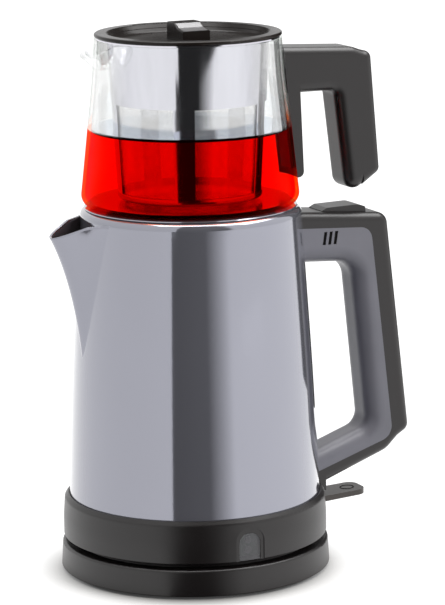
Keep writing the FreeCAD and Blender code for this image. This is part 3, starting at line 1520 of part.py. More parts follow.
def strainer():
    """The steel basket: a rim, a band with five windows below it, mesh and a mesh floor."""
    frame = turned("strainer_frame", [
        ("strainer_foot_radius", "strainer_foot", "1.5"),
        ("strainer_top_radius", "strainer_flange_bottom"),
        ("strainer_flange_radius", "strainer_flange_bottom"),
        ("strainer_flange_radius", "strainer_flange_top"),
        ("strainer_top_radius - strainer_sheet", "strainer_flange_top", "0.8"),
        ("strainer_foot_radius - strainer_sheet", "strainer_foot + strainer_sheet"),
        ("strainer_foot_radius - 4", "strainer_foot + strainer_sheet"),
        ("strainer_foot_radius - 4", "strainer_foot"),
    ])
    doc.recompute()
    before = frame.Shape.Volume
    sketch = new_sketch(frame, "strainer_window", "XZ_Plane")
    outline(sketch, [
        ("strainer_foot_radius - 3", "strainer_hoop_top"),
        ("strainer_top_radius + 3", "strainer_hoop_top"),
        ("strainer_top_radius + 3", "strainer_band_low"),
        ("strainer_foot_radius - 3", "strainer_band_low"),
    ])
    window = feature(frame, "Groove", "strainer_window_cut", sketch)
    window.ReferenceAxis = (sketch, ["V_Axis"])
    window.Midplane = True
    bind(window, "Angle", "72 - 2 * window_side_angle")
    frame.Tip = window
    around(frame, window, WINDOWS_IN_STRAINER)
    doc.recompute()
    must_be_smaller(window, before, frame.Shape.Volume)
    frame.Placement = FreeCAD.Placement(V(0, 0, 0), FreeCAD.Rotation(V(0, 0, 1), 0))
    bind(frame, "Placement.Rotation.Angle", "strainer_first_rib + 36")

    inner = " - strainer_sheet - 0.12"
    turned("strainer_mesh", [
        (basket_radius("strainer_hoop_top - 2") + inner, "strainer_hoop_top - 2"),
        (basket_radius("strainer_band_low + 2") + inner, "strainer_band_low + 2"),
        (basket_radius("strainer_band_low + 2") + inner + " - mesh_sheet", "strainer_band_low + 2"),
        (basket_radius("strainer_hoop_top - 2") + inner + " - mesh_sheet", "strainer_hoop_top - 2"),
    ])
    turned("strainer_floor", [
        ("0", "strainer_foot + strainer_sheet + 0.04"),
        ("strainer_foot_radius - 1.2", "strainer_foot + strainer_sheet + 0.04"),
        ("strainer_foot_radius - 1.2", "strainer_foot + strainer_sheet + 0.04 + mesh_sheet"),
        ("0", "strainer_foot + strainer_sheet + 0.04 + mesh_sheet"),
    ])


def teapot_cap():
    """The dished lid of the teapot with its grip tab and seal."""
    cap = turned("teapot_lid", [
        ("0", "cap_floor"),
        ("cap_skirt_radius - cap_sheet", "cap_floor"),
        ("cap_skirt_radius - cap_sheet", "cap_skirt_low"),
        ("cap_skirt_radius", "cap_skirt_low"),
        ("cap_skirt_radius", "cap_low"),
        ("cap_radius", "cap_low", "0.8"),
        ("cap_radius", "cap_top", "1.2"),
        ("cap_dish_radius", "cap_top", "1"),
        ("cap_dish_floor_radius", "cap_floor + cap_sheet", "3"),
        ("0", "cap_floor + cap_sheet"),
    ])
    tab = new_sketch(cap, "tab_side", "YZ_Plane")
    outline(tab, [
        ("tab_near_y", "cap_floor + cap_sheet - 0.5"),
        ("tab_far_y", "cap_floor + cap_sheet - 0.5"),
        ("tab_far_y", "tab_far_top", "1.5"),
        ("1.5", "tab_far_top", "4"),
        ("-4.5", "tab_near_top + 1", "4"),
        ("tab_near_y", "tab_near_top"),
    ])
    pad(cap, tab, "tab_pad", "2 * tab_half_x", symmetric=True)
    slope = value("tab_far_top")

    def across_top(edge):
        """Whether an edge runs along the top of the tab on its +X or -X side."""
        middle = edge_middle(edge)
        on_side = abs(abs(middle.x) - value("tab_half_x")) < 0.01
        level = abs(edge.BoundBox.XMax - edge.BoundBox.XMin) < 0.01
        return on_side and level and middle.z > value("tab_near_top") - 0.5 and middle.z < slope + 0.1

    seat = new_sketch(cap, "insert_seat", "YZ_Plane")
    outline(seat, [
        ("tab_near_y + 1", "tab_near_top - 0.6"),
        ("-4.8", "tab_near_top + 0.4"),
        ("0", "tab_far_top - 1.6"),
        ("0", "tab_far_top + 4"),
        ("tab_near_y + 1", "tab_far_top + 4"),
    ])
    pocket(cap, seat, "insert_seat_cut", "2 * (tab_half_x - tab_cap_inset)", symmetric=True)
    soften(cap, "tab_edges", "0.5", across_top)
    insert = new_body("lid_tab_insert_body")
    shape = new_sketch(insert, "insert_side", "YZ_Plane")
    outline(shape, [
        ("tab_near_y + 1.05", "tab_near_top - 0.56"),
        ("-4.8", "tab_near_top + 0.44"),
        ("-0.05", "tab_far_top - 1.52"),
        ("-0.05", "tab_far_top - 0.5"),
        ("-4.6", "tab_near_top + 1.3", "3"),
        ("tab_near_y + 1.05", "tab_near_top + 0.35"),
    ])
    pad(insert, shape, "insert_pad", "2 * (tab_half_x - tab_cap_inset - 0.05)", symmetric=True)
    keep(insert, "lid_tab_insert")
    turned("teapot_lid_seal", [
        ("cap_skirt_radius + 0.02", "cap_seal_low"),
        ("cap_seal_radius", "cap_seal_low + 0.4"),
        ("cap_seal_radius", "cap_seal_low + cap_seal_height - 0.4"),
        ("cap_skirt_radius + 0.02", "cap_seal_low + cap_seal_height"),
    ])


# ---------------------------------------------------------------- what the model is made of

def build():
    """Makes every sub-assembly in turn."""
    fill_sheet()
    power_base()
    kettle_foot()
    indicator()
    kettle_shell()
    seat_and_lid()
    heating()
    space = kettle_space()
    kettle_handle(space)
    handle_contents()
    kettle_spout(space)
    teapot()
    strainer()
    teapot_cap()


def write_out():
    """Checks every object and writes each sub-part to its own file."""
    doc.recompute()
    os.makedirs("parts", exist_ok=True)
    for item in doc.Objects:
        if any(word in item.State for word in ("Invalid", "Error")):
            raise RuntimeError("%s is not built: %s" % (item.Label, item.State))
    for item in pieces:
        if item.Shape.isNull() or not item.Shape.isValid():
            raise RuntimeError("%s has no sound shape" % item.Label)
        if not item.Shape.Solids:
            raise RuntimeError("%s has no solid" % item.Label)
        item.Shape.exportStep("parts/%s.step" % item.Label)


build()
write_out()
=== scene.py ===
"""Looks of the automatic tea maker: finishes, the pieces that only the looks need, light and camera."""

import logging
import math
from dataclasses import dataclass
from enum import Enum
from typing import Any, Dict, List, Sequence, Tuple

import bmesh
import bpy
from mathutils import Matrix, Vector

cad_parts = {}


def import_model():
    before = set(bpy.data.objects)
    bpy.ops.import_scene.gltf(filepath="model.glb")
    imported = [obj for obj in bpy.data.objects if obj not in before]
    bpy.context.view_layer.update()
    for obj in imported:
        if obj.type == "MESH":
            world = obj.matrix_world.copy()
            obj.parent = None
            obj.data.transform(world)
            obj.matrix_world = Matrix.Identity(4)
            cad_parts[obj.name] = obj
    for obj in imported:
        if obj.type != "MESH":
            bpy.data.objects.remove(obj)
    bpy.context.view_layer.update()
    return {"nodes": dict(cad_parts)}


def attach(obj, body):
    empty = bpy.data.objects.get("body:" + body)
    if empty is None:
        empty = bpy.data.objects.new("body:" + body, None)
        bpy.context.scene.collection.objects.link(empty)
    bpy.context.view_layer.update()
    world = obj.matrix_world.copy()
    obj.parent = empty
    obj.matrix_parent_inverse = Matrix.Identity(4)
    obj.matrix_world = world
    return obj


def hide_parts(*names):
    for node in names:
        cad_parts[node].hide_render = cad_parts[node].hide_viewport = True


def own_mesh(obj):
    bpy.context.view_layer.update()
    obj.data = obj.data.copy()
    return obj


LOG = logging.getLogger("tea_maker")
Colour = Tuple[float, float, float]
Point2 = Tuple[float, float]
Point3 = Tuple[float, float, float]
Ring = List[bmesh.types.BMVert]
MM = 0.001
FULL_TURN = 2.0 * math.pi
WHITE = (1.0, 1.0, 1.0)
TEA_LEVEL = 263.0  # the height of the tea on the glass, in millimetres


class Body(str, Enum):
    """CAD bodies that pieces ride on."""

    KETTLE = "kettle"
    LEVER = "switch_lever"
    POT = "teapot"


class MathOp(str, Enum):
    """Operations of Math nodes."""

    ADD = "ADD"
    SUBTRACT = "SUBTRACT"
    MULTIPLY = "MULTIPLY"
    DIVIDE = "DIVIDE"
    POWER = "POWER"
    SINE = "SINE"
    ARCTAN2 = "ARCTAN2"
    ABSOLUTE = "ABSOLUTE"
    MINIMUM = "MINIMUM"


class Ray(str, Enum):
    """What a Light Path node tells of a ray."""

    CAMERA = "Is Camera Ray"
    GLOSSY = "Is Glossy Ray"
    TRANSMISSION = "Is Transmission Ray"
    DIFFUSE = "Is Diffuse Ray"
    DIFFUSE_DEPTH = "Diffuse Depth"


# ---------------------------------------------------------------- shader sockets


class Wire:
    """A shader socket that can be used in sums.

    Args:
        graph: The graph that the socket is in.
        socket: The output socket.
    """

    def __init__(self, graph: "Graph", socket: bpy.types.NodeSocket) -> None:
        """Keeps the socket and its graph."""
        self.graph = graph
        self.socket = socket

    def math(self, op: MathOp, *others: Any, clamp: bool = False) -> "Wire":
        """Puts this socket through a Math node of any operation.

        Args:
            op: The node's operation.
            others: Further inputs, as numbers or wires.
            clamp: Whether the result is held between 0 and 1.

        Returns:
            The result.
        """
        return self.graph.math(op, self, *others, clamp=clamp)

    def __add__(self, other: Any) -> "Wire":
        """This plus the other."""
        return self.math(MathOp.ADD, other)

    def __radd__(self, other: Any) -> "Wire":
        """The other plus this."""
        return self.graph.math(MathOp.ADD, other, self)

    def __sub__(self, other: Any) -> "Wire":
        """This less the other."""
        return self.math(MathOp.SUBTRACT, other)

    def __rsub__(self, other: Any) -> "Wire":
        """The other less this."""
        return self.graph.math(MathOp.SUBTRACT, other, self)

    def __mul__(self, other: Any) -> "Wire":
        """This times the other."""
        return self.math(MathOp.MULTIPLY, other)

    def __rmul__(self, other: Any) -> "Wire":
        """The other times this."""
        return self.graph.math(MathOp.MULTIPLY, other, self)

    def __truediv__(self, other: Any) -> "Wire":
        """This divided by the other."""
        return self.math(MathOp.DIVIDE, other)

    def __rtruediv__(self, other: Any) -> "Wire":
        """The other divided by this."""
        return self.graph.math(MathOp.DIVIDE, other, self)

    def __pow__(self, other: Any) -> "Wire":
        """This to the power of the other."""
        return self.math(MathOp.POWER, other)

    def __rpow__(self, other: Any) -> "Wire":
        """The other to the power of this."""
        return self.graph.math(MathOp.POWER, other, self)

    def ramp(self, low: float, high: float) -> "Wire":
        """Spreads the range low to high over 0 to 1.

        Args:
            low: The value that becomes 0.
            high: The value that becomes 1.

        Returns:
            The result, held between 0 and 1.
        """
        return self.graph.node(
            "ShaderNodeMapRange", {"Value": self, "From Min": low, "From Max": high}, out="Result"
        )


class Graph:
    """A material's or world's node tree.

    Args:
        tree: The node tree, which is emptied.
    """

    def __init__(self, tree: bpy.types.NodeTree) -> None:
        """Keeps the tree and empties it."""
        self.tree = tree
        tree.nodes.clear()

    def put(self, socket: bpy.types.NodeSocket, value: Any) -> None:
        """Links a wire to an input, or sets the input's own value.

        Args:
            socket: The input.
            value: A wire, number, colour or vector.
        """
        if isinstance(value, Wire):
            self.tree.links.new(value.socket, socket)
        elif socket.type == "RGBA" and len(value) == 3:
            socket.default_value = (*value, 1.0)
        else:
            socket.default_value = value

    def node(self, kind: str, inputs: Dict[Any, Any], out: Any = 0, **settings: Any) -> Wire:
        """Adds any node.

        Args:
            kind: The node's type name.
            inputs: Inputs by name or number.
            out: The output wanted, by name or number.
            settings: The node's own properties, which are set first.

        Returns:
            The wanted output.
        """
        node = self.tree.nodes.new(kind)
        for name, setting in settings.items():
            setattr(node, name, setting)
        for name, value in inputs.items():
            self.put(node.inputs[name], value)
        return Wire(self, node.outputs[out])

    def end(self, kind: str, name: str, value: Wire) -> None:
        """Adds an output node and feeds it.

        Args:
            kind: The node's type name.
            name: Its input.
            value: What goes in.
        """
        node = self.tree.nodes.new(kind)
        self.put(node.inputs[name], value)

    def math(self, op: MathOp, *inputs: Any, clamp: bool = False) -> Wire:
        """Adds a Math node.

        Args:
            op: Its operation.
            inputs: Its inputs.
            clamp: Whether the result is held between 0 and 1.

        Returns:
            The result.
        """
        return self.node(
            "ShaderNodeMath", dict(enumerate(inputs)), operation=op.value, use_clamp=clamp
        )

    def mix(self, share: Any, low: Any, high: Any) -> Wire:
        """Mixes two colours.

        Args:
            share: How much of the second colour shows.
            low: The first colour.
            high: The second colour.

        Returns:
            The mixed colour.
        """
        node = self.tree.nodes.new("ShaderNodeMix")
        node.data_type = "RGBA"
        inputs = [socket for socket in node.inputs if socket.enabled]
        for socket, value in zip(inputs, (share, low, high)):
            self.put(socket, value)
        return Wire(self, [socket for socket in node.outputs if socket.enabled][0])

    def mix_shader(self, share: Any, first: Wire, second: Wire) -> Wire:
        """Mixes two shaders.

        Args:
            share: How much of the second shader shows.
            first: The first shader.
            second: The second shader.

        Returns:
            The mixed shader.
        """
        return self.node("ShaderNodeMixShader", {0: share, 1: first, 2: second})

    def place(self) -> Wire:
        """The place on the piece, in its own coordinates."""
        return self.node("ShaderNodeTexCoord", {}, out="Object")

    def vector(self, operation: str, first: Any, second: Any) -> Wire:
        """Adds a Vector Math node.

        Args:
            operation: Its operation.
            first: Its first vector.
            second: Its second vector.

        Returns:
            The resulting vector.
        """
        return self.node("ShaderNodeVectorMath", {0: first, 1: second}, operation=operation)

    def axes(self, spot: Wire) -> List[Wire]:
        """The X, Y and Z of a vector, each from a node of its own."""
        return [self.node("ShaderNodeSeparateXYZ", {0: spot}, out=axis) for axis in "XYZ"]

    def noise(self, scale: float, detail: float = 3.0, stretch: Point3 = (1.0, 1.0, 1.0)) -> Wire:
        """Soft noise that stays with the piece.

        Args:
            scale: Its fineness per metre.
            detail: How many finer layers it has.
            stretch: Its stretch along each axis.

        Returns:
            The noise, from 0 to 1.
        """
        spot = self.vector("MULTIPLY", self.place(), stretch)
        inputs = {"Vector": spot, "Scale": scale, "Detail": detail}
        return self.node("ShaderNodeTexNoise", inputs, out="Fac")

    def bump(self, height: Wire, strength: float, distance: float) -> Wire:
        """A bumped normal.

        Args:
            height: The height wire.
            strength: The bump's strength.
            distance: The bump's depth in metres.

        Returns:
            The normal.
        """
        inputs = {"Height": height, "Strength": strength, "Distance": distance}
        return self.node("ShaderNodeBump", inputs)

    def facing(self) -> Wire:
        """0 where the surface faces the viewer, up to 1 where it is seen along."""
        return self.node("ShaderNodeLayerWeight", {"Blend": 0.5}, out="Facing")

    def ray(self, kind: Ray) -> Wire:
        """What the Light Path node tells of the ray."""
        return self.node("ShaderNodeLightPath", {}, out=kind.value)

    def clear(self, colour: Colour = WHITE) -> Wire:
        """A shader that lets light of this colour straight through."""
        return self.node("ShaderNodeBsdfTransparent", {"Color": colour})

    def mirror(self, colour: Colour, roughness: float, **inputs: Any) -> Wire:
        """A mirror.

        Args:
            colour: The colour of the mirrored light.
            roughness: Its roughness.
            inputs: Its further inputs by name.

        Returns:
            The shader.
        """
        return self.node("ShaderNodeBsdfGlossy", {"Color": colour, "Roughness": roughness, **inputs})

    def glow(self, colour: Colour, strength: float) -> Wire:
        """A shader that shines with this colour and strength."""
        return self.node("ShaderNodeEmission", {"Color": colour, "Strength": strength})

    def principled(self, inputs: Dict[str, Any]) -> Wire:
        """A Principled BSDF with these inputs."""
        return self.node("ShaderNodeBsdfPrincipled", inputs)


def new_material(name: str) -> Tuple[bpy.types.Material, Graph]:
    """Adds a material.

    Args:
        name: Its name.

    Returns:
        The material and its empty graph.
    """
    material = bpy.data.materials.new(name)
    material.use_nodes = True
    return material, Graph(material.node_tree)


# ---------------------------------------------------------------- finishes


@dataclass(frozen=True)
class Finish:
    """A procedural surface finish.

    Args:
        name: The material's name.
        colour: Its plain colour, as linear red, green and blue.
        roughness: Its mean roughness.
    """

    name: str
    colour: Colour
    roughness: float

    def material(self) -> bpy.types.Material:
        """Makes the material, once for all pieces.

        Returns:
            The material.
        """
        found = bpy.data.materials.get(self.name)
        if found is None:
            found, graph = new_material(self.name)
            graph.end("ShaderNodeOutputMaterial", "Surface", self.shader(graph))
            LOG.info("finish %s", self.name)
        return found

    def shade(self, graph: Graph, amount: float, spread: Wire) -> Wire:
        """Varies the colour a little.

        Args:
            graph: The material's graph.
            amount: How far it goes to each side, as a share of the colour.
            spread: A wire from 0 to 1.

        Returns:
            The varied colour.
        """
        low = tuple(part * (1.0 - amount) for part in self.colour)
        high = tuple(part * (1.0 + amount) for part in self.colour)
        return graph.mix(spread, low, high)

    def rough(self, amount: float, spread: Wire) -> Wire:
        """Varies the roughness a little.

        Args:
            amount: The whole range that it varies over.
            spread: A wire from 0 to 1.

        Returns:
            The varied roughness.
        """
        return self.roughness + (spread - 0.5) * amount

    def shader(self, graph: Graph) -> Wire:
        """Builds the finish.

        Args:
            graph: The material's graph.

        Returns:
            The shader.
        """
        raise NotImplementedError


@dataclass(frozen=True)
class Lacquer(Finish):
    """Glossy paint on steel, with a faint orange peel under a clear coat.

    Args:
        metallic: How much the pigment shines.
        coat: The weight of the clear coat.
        coat_roughness: The roughness of the clear coat.
        clouds: The fineness of the paint's clouds.
        tint: How far they change the colour.
        wear: The range over which they change the roughness.
        peel: The fineness of the orange peel.
        relief: The strength of the orange peel.
        depth: The depth of the orange peel in metres.
    """

    metallic: float = 0.0
    coat: float = 1.0
    coat_roughness: float = 0.03
    clouds: float = 14.0
    tint: float = 0.03
    wear: float = 0.04
    peel: float = 420.0
    relief: float = 0.05
    depth: float = 0.0002

    def shader(self, graph: Graph) -> Wire:
        """Builds the paint.

        Args:
            graph: The material's graph.

        Returns:
            The shader.
        """
        cloud = graph.noise(self.clouds, 2.0)
        peel = graph.noise(self.peel, 2.0)
        return graph.principled({
            "Base Color": self.shade(graph, self.tint, cloud),
            "Metallic": self.metallic,
            "Roughness": self.rough(self.wear, cloud),
            "Coat Weight": self.coat,
            "Coat Roughness": self.coat_roughness,
            "Normal": graph.bump(peel, self.relief, self.depth),
        })


@dataclass(frozen=True)
class Plastic(Finish):
    """Moulded plastic with fine spark-eroded grain, worn a little smoother in patches.

    Args:
        grain: The strength of the grain.
        sheen: How strongly it mirrors, 0.5 being plain plastic.
        coat: The weight of the shiny skin.
        coat_roughness: The roughness of the shiny skin.
        patches: The fineness of the worn patches.
        tint: How far they change the colour.
        wear: The range over which they change the roughness.
        pits: The fineness of the grain.
        pit_wear: The range over which it changes the roughness.
        depth: The depth of the grain in metres.
    """

    grain: float = 0.2
    sheen: float = 0.5
    coat: float = 0.0
    coat_roughness: float = 0.12
    patches: float = 38.0
    tint: float = 0.12
    wear: float = 0.08
    pits: float = 2600.0
    pit_wear: float = 0.06
    depth: float = 0.00006

    def shader(self, graph: Graph) -> Wire:
        """Builds the plastic.

        Args:
            graph: The material's graph.

        Returns:
            The shader.
        """
        cloud = graph.noise(self.patches, 3.0)
        fine = graph.noise(self.pits, 2.0)
        return graph.principled({
            "Base Color": self.shade(graph, self.tint, cloud),
            "Roughness": self.rough(self.wear, cloud) + (fine - 0.5) * self.pit_wear,
            "Specular IOR Level": self.sheen,
            "Coat Weight": self.coat,
            "Coat Roughness": self.coat_roughness,
            "Normal": graph.bump(fine, self.grain, self.depth),
        })


@dataclass(frozen=True)
class Steel(Finish):
    """Brushed or drawn metal.

    Args:
        stretch: The run of the brush marks, as a stretch along each axis.
        marks: The fineness of the brush marks.
        tint: How far they change the colour.
        wear: The range over which they change the roughness.
        relief: Their strength.
        depth: Their depth in metres.
    """

    stretch: Point3 = (60.0, 60.0, 2.0)
    marks: float = 40.0
    tint: float = 0.06
    wear: float = 0.12
    relief: float = 0.06
    depth: float = 0.00005

    def shader(self, graph: Graph) -> Wire:
        """Builds the metal.

        Args:
            graph: The material's graph.

        Returns:
            The shader.
        """
        marks = graph.noise(self.marks, 4.0, self.stretch)
        return graph.principled({
            "Base Color": self.shade(graph, self.tint, marks),
            "Metallic": 1.0,
            "Roughness": self.rough(self.wear, marks),
            "Normal": graph.bump(marks, self.relief, self.depth),
        })


@dataclass(frozen=True)
class Rubber(Finish):
    """Soft rubber or silicone with a dusty bloom.

    Args:
        bloom: The fineness of the bloom.
        tint: How far it changes the colour.
        wear: The range over which it changes the roughness.
        pores: The fineness of the pores.
        relief: The strength of the pores.
        depth: Their depth in metres.
    """

    bloom: float = 90.0
    tint: float = 0.25
    wear: float = 0.1
    pores: float = 900.0
    relief: float = 0.2
    depth: float = 0.0001

    def shader(self, graph: Graph) -> Wire:
        """Builds the rubber.

        Args:
            graph: The material's graph.

        Returns:
            The shader.
        """
        bloom = graph.noise(self.bloom, 4.0)
        return graph.principled({
            "Base Color": self.shade(graph, self.tint, bloom),
            "Roughness": self.rough(self.wear, bloom),
            "Normal": graph.bump(graph.noise(self.pores, 2.0), self.relief, self.depth),
        })


@dataclass(frozen=True)
class InTea(Finish):
    """A finish that looks different below the tea's level.

    Args:
        level: The height of the tea in metres.
        blur: Half of the height in metres over which it changes.
    """

    level: float = TEA_LEVEL * MM
    blur: float = 0.0004

    def dry(self, height: Wire) -> Wire:
        """0 below the tea's level and 1 above it.

        Args:
            height: The height on the piece.

        Returns:
            The share.
        """
        return height.ramp(self.level - self.blur, self.level + self.blur)


@dataclass(frozen=True)
class ClearGlass(InTea):
    """Clear glass with its own reflections. Above the tea its edges are darker, partly from its own green
    tint through more glass and partly from painted shade that stands in for refraction; as far up as the tea
    stands they are red instead, a painted refraction of the tea.

    Args:
        wet: What its edges let through below the tea's level.
        plain: What it lets through where it is looked at squarely.
        shine: The share of the mirrored light that is kept.
        veil: How far it turns away where the reflections start and where they are whole.
        red_edge: How far it turns away where the painted red of the tea starts on the wet edges and where it
            is whole.
        edge_power: How narrow the dark edges are, which are partly its own tint and partly painted shade.
        edge_range: How dark the edges are where the glass's waves are lowest, and how much more at most.
        waves: The fineness of its waves.
        relief: The strength of its waves.
        depth: The depth of its waves in metres.
        wet_shine: The share of the reflections that is left below the tea's level.
        wet_power: How narrow the edges are that show them there.
    """

    wet: Colour = (0.97, 0.2, 0.02)
    plain: Colour = (0.985, 0.99, 0.988)
    shine: float = 0.48
    veil: Point2 = (0.22, 0.62)
    red_edge: Point2 = (0.66, 0.76)
    edge_power: float = 8.0
    edge_range: Point2 = (0.9, 0.2)
    waves: float = 22.0
    relief: float = 0.04
    depth: float = 0.001
    wet_shine: float = 0.08
    wet_power: float = 5.0

    def shader(self, graph: Graph) -> Wire:
        """Builds the glass.

        Args:
            graph: The material's graph.

        Returns:
            The shader.
        """
        facing = graph.facing()
        wave = graph.noise(self.waves, 1.0)
        dry = self.dry(graph.axes(graph.place())[2])
        clear = graph.clear(self.plain)
        least, more = self.edge_range
        # Darker edges: partly the glass's own green tint through more glass, partly painted shade standing
        # in for refraction.
        tint_and_painted_edge_shade = (facing ** self.edge_power) * (least + wave * more)
        above = graph.mix_shader(tint_and_painted_edge_shade, clear, graph.clear(self.colour))
        # Below the tea's level the edges turn red: painted refraction of the tea.
        below = graph.mix_shader(facing.ramp(*self.red_edge), clear, graph.clear(self.wet))
        body = graph.mix_shader(dry, below, above)
        gloss = graph.mirror(WHITE, self.roughness, Normal=graph.bump(wave, self.relief, self.depth))
        veil = facing.ramp(*self.veil) * dry + (facing ** self.wet_power) * (1.0 - dry) * self.wet_shine
        return graph.mix_shader(veil * self.shine, body, gloss)


@dataclass(frozen=True)
class Tea(Finish):
    """Clear red tea that lets the light of what is behind it through.

    Args:
        edge: What it lets through at its sides, where it is thin.
        edge_power: How narrow those sides are.
        edge_range: How thin it looks there where its clouds are lowest, and how much more at most.
        clouds: The fineness of its clouds.
    """

    edge: Colour = (0.95, 0.11, 0.004)
    edge_power: float = 2.2
    edge_range: Point2 = (0.85, 0.3)
    clouds: float = 30.0

    def shader(self, graph: Graph) -> Wire:
        """Builds the tea.

        Args:
            graph: The material's graph.

        Returns:
            The shader.
        """
        least, more = self.edge_range
        thin = (graph.facing() ** self.edge_power) * (least + graph.noise(self.clouds, 2.0) * more)
        return graph.mix_shader(thin, graph.clear(self.colour), graph.clear(self.edge))


@dataclass(frozen=True)
class TeaSurface(Finish):
    """A level surface of the tea: red from above, and a mirror where it is looked along.

    Args:
        sheen: The colour of the mirrored light.
        mirror_roughness: The roughness of the mirror.
        grazing: How far it turns away where the mirror starts and where it is whole.
        share: The share of the mirror there.
        clouds: The fineness of its clouds.
        tint: How far they change the colour.
        more: The further share of the mirror where they are highest.
    """

    sheen: Colour
    mirror_roughness: float
    grazing: Point2
    share: float
    clouds: float
    tint: float = 0.1
    more: float = 0.06

    def shader(self, graph: Graph) -> Wire:
        """Builds the surface.

        Args:
            graph: The material's graph.

        Returns:
            The shader.
        """
        cloud = graph.noise(self.clouds, 2.0)
        red = {"Base Color": self.shade(graph, self.tint, cloud), "Roughness": self.roughness}
        mirror = graph.mirror(self.sheen, self.mirror_roughness)
        share = graph.facing().ramp(*self.grazing) * (self.share + cloud * self.more)
        return graph.mix_shader(share, graph.principled(red), mirror)


@dataclass(frozen=True)
class WireMesh(InTea):
    """Fine punched sheet: rows of small holes cut out by transparency.

    Args:
        pitch: The distance between holes in metres.
        radius: The radius of the mesh wall in metres.
        rim: The two values of the wave between which a hole's rim lies.
        open: What is let through between the holes.
        hole: How much more is let through in a hole.
        above_tea_cover: How much less is let through above the tea.
        stains: The fineness of the stains.
        tint: How far they change the colour.
        dull: The fineness of the dull spots.
        wear: How much rougher they are.
    """

    pitch: float = 0.0012
    radius: float = 0.0435
    rim: Point2 = (0.12, 0.2)
    open: float = 0.42
    hole: float = 0.3
    above_tea_cover: float = 0.04
    stains: float = 300.0
    tint: float = 0.08
    dull: float = 200.0
    wear: float = 0.05

    def shader(self, graph: Graph) -> Wire:
        """Builds the mesh.

        Args:
            graph: The material's graph.

        Returns:
            The shader.
        """
        x, y, z = graph.axes(graph.place())
        angle = y.math(MathOp.ARCTAN2, x)
        across = (angle * (self.radius / self.pitch) * FULL_TURN).math(MathOp.SINE)
        along = (z * (FULL_TURN / self.pitch)).math(MathOp.SINE)
        hole = (across * along).math(MathOp.ABSOLUTE).ramp(*self.rim)
        steel = graph.principled({
            "Base Color": self.shade(graph, self.tint, graph.noise(self.stains)),
            "Metallic": 1.0,
            "Roughness": self.roughness + graph.noise(self.dull) * self.wear,
        })
        # Less is let through above the tea than below it.
        share = hole * self.hole + self.open - self.dry(z) * self.above_tea_cover
        return graph.mix_shader(share, steel, graph.clear())


@dataclass(frozen=True)
class Smoked(Finish):
    """Translucent plastic of the indicator window and its lamps.

    Args:
        alpha: How much it hides what is behind it.
        coat: The weight of its shiny skin.
        clouds: The fineness of its clouds.
        tint: How far they change the colour.
        wear: The range over which they change the roughness and what is hidden.
    """

    alpha: float = 0.5
    coat: float = 0.5
    clouds: float = 160.0
    tint: float = 0.1
    wear: float = 0.05

    def shader(self, graph: Graph) -> Wire:
        """Builds the plastic.

        Args:
            graph: The material's graph.

        Returns:
            The shader.
        """
        cloud = graph.noise(self.clouds, 2.0)
        return graph.principled({
            "Base Color": self.shade(graph, self.tint, cloud),
            "Roughness": self.rough(self.wear, cloud),
            "Alpha": self.alpha + (cloud - 0.5) * self.wear,
            "Coat Weight": self.coat,
        })


BLACK = Plastic("satin black plastic", (0.0105, 0.0084, 0.0086), 0.36, grain=0.3, sheen=0.6)
# The paddle's black plastic, painted lighter all over: painted light standing in for the light that falls on
# its top.
PADDLE_PAINTED_LIGHT = Plastic("black plastic painted lighter", (0.075, 0.065, 0.06), 0.4, grain=0.3)
LID_BLACK = Plastic("glossy black plastic", (0.016, 0.012, 0.0105), 0.28, grain=0.06, sheen=0.2)
DARK = Plastic("matt black plastic", (0.012, 0.012, 0.0125), 0.6, grain=0.4)
GREY_PLASTIC = Plastic("warm grey plastic", (0.225, 0.225, 0.262), 0.34, grain=0.12)
PALE_PLASTIC = Plastic("pale grey plastic", (0.34, 0.34, 0.36), 0.2, grain=0.05, coat=0.4)
BOARD = Plastic("lacquered board", (0.03, 0.12, 0.06), 0.4)
# Black print for the paddle's ring, and painted shade for the handle's vent slots.
PRINT_AND_PAINTED_SHADE = Plastic("black print and painted shade", (0.004, 0.0035, 0.0035), 0.6, sheen=0.1)
# Near-black ring where the tea climbs the glass: painted shade for the dark line that refraction makes
# there.
TEA_SHADE_RING = Plastic("painted shade ring of the tea", (0.006, 0.001, 0.001), 0.4, grain=0.02, sheen=0.0)
GREY = Lacquer("grey lacquer", (0.36, 0.366, 0.432), 0.09, metallic=0.6)
# Darker lacquer for the spout's inside skin: painted shade, standing in for the shade inside the spout.
SPOUT_PAINTED_SHADE = Lacquer("painted shade inside the spout", (0.07, 0.06, 0.064), 0.3, metallic=0.4, coat=0.2)
STEEL = Steel("brushed steel", (0.62, 0.62, 0.63), 0.3)
POLISHED = Steel("polished steel", (0.63, 0.62, 0.67), 0.09, stretch=(4.0, 4.0, 0.6))
BRASS = Steel("brass", (0.72, 0.53, 0.24), 0.3)
ALUMINIUM = Steel("aluminium", (0.7, 0.7, 0.72), 0.4)
BIMETAL = Steel("rolled bimetal", (0.6, 0.45, 0.26), 0.35)
RUBBER = Rubber("black rubber", (0.018, 0.018, 0.018), 0.75)
SILICONE = Rubber("pale silicone", (0.62, 0.62, 0.6), 0.5)
PAD = Rubber("grey silicone", (0.36, 0.36, 0.4), 0.45)
GLASS = ClearGlass("clear glass", (0.2, 0.26, 0.2), 0.02)
MESH = WireMesh("strainer mesh", (0.9, 0.89, 0.9), 0.14)
SMOKED = Smoked("smoked window", (0.16, 0.16, 0.175), 0.2)
LAMP = Smoked("frosted lamp", (0.3, 0.3, 0.32), 0.3, alpha=1.0)
TEA = Tea("red tea", (0.935, 0.02, 0.004), 0.05)
TEA_FLOOR = TeaSurface("underside of the tea", (0.8, 0.008, 0.003), 0.3, sheen=(1.0, 0.9, 0.8),
                       mirror_roughness=0.16, grazing=(0.4, 0.7), share=0.78, clouds=26.0)
TEA_TOP = TeaSurface("level of the tea", (0.35, 0.006, 0.002), 0.08, sheen=(0.8, 0.85, 0.93),
                     mirror_roughness=0.03, grazing=(0.45, 0.75), share=0.94, clouds=18.0)

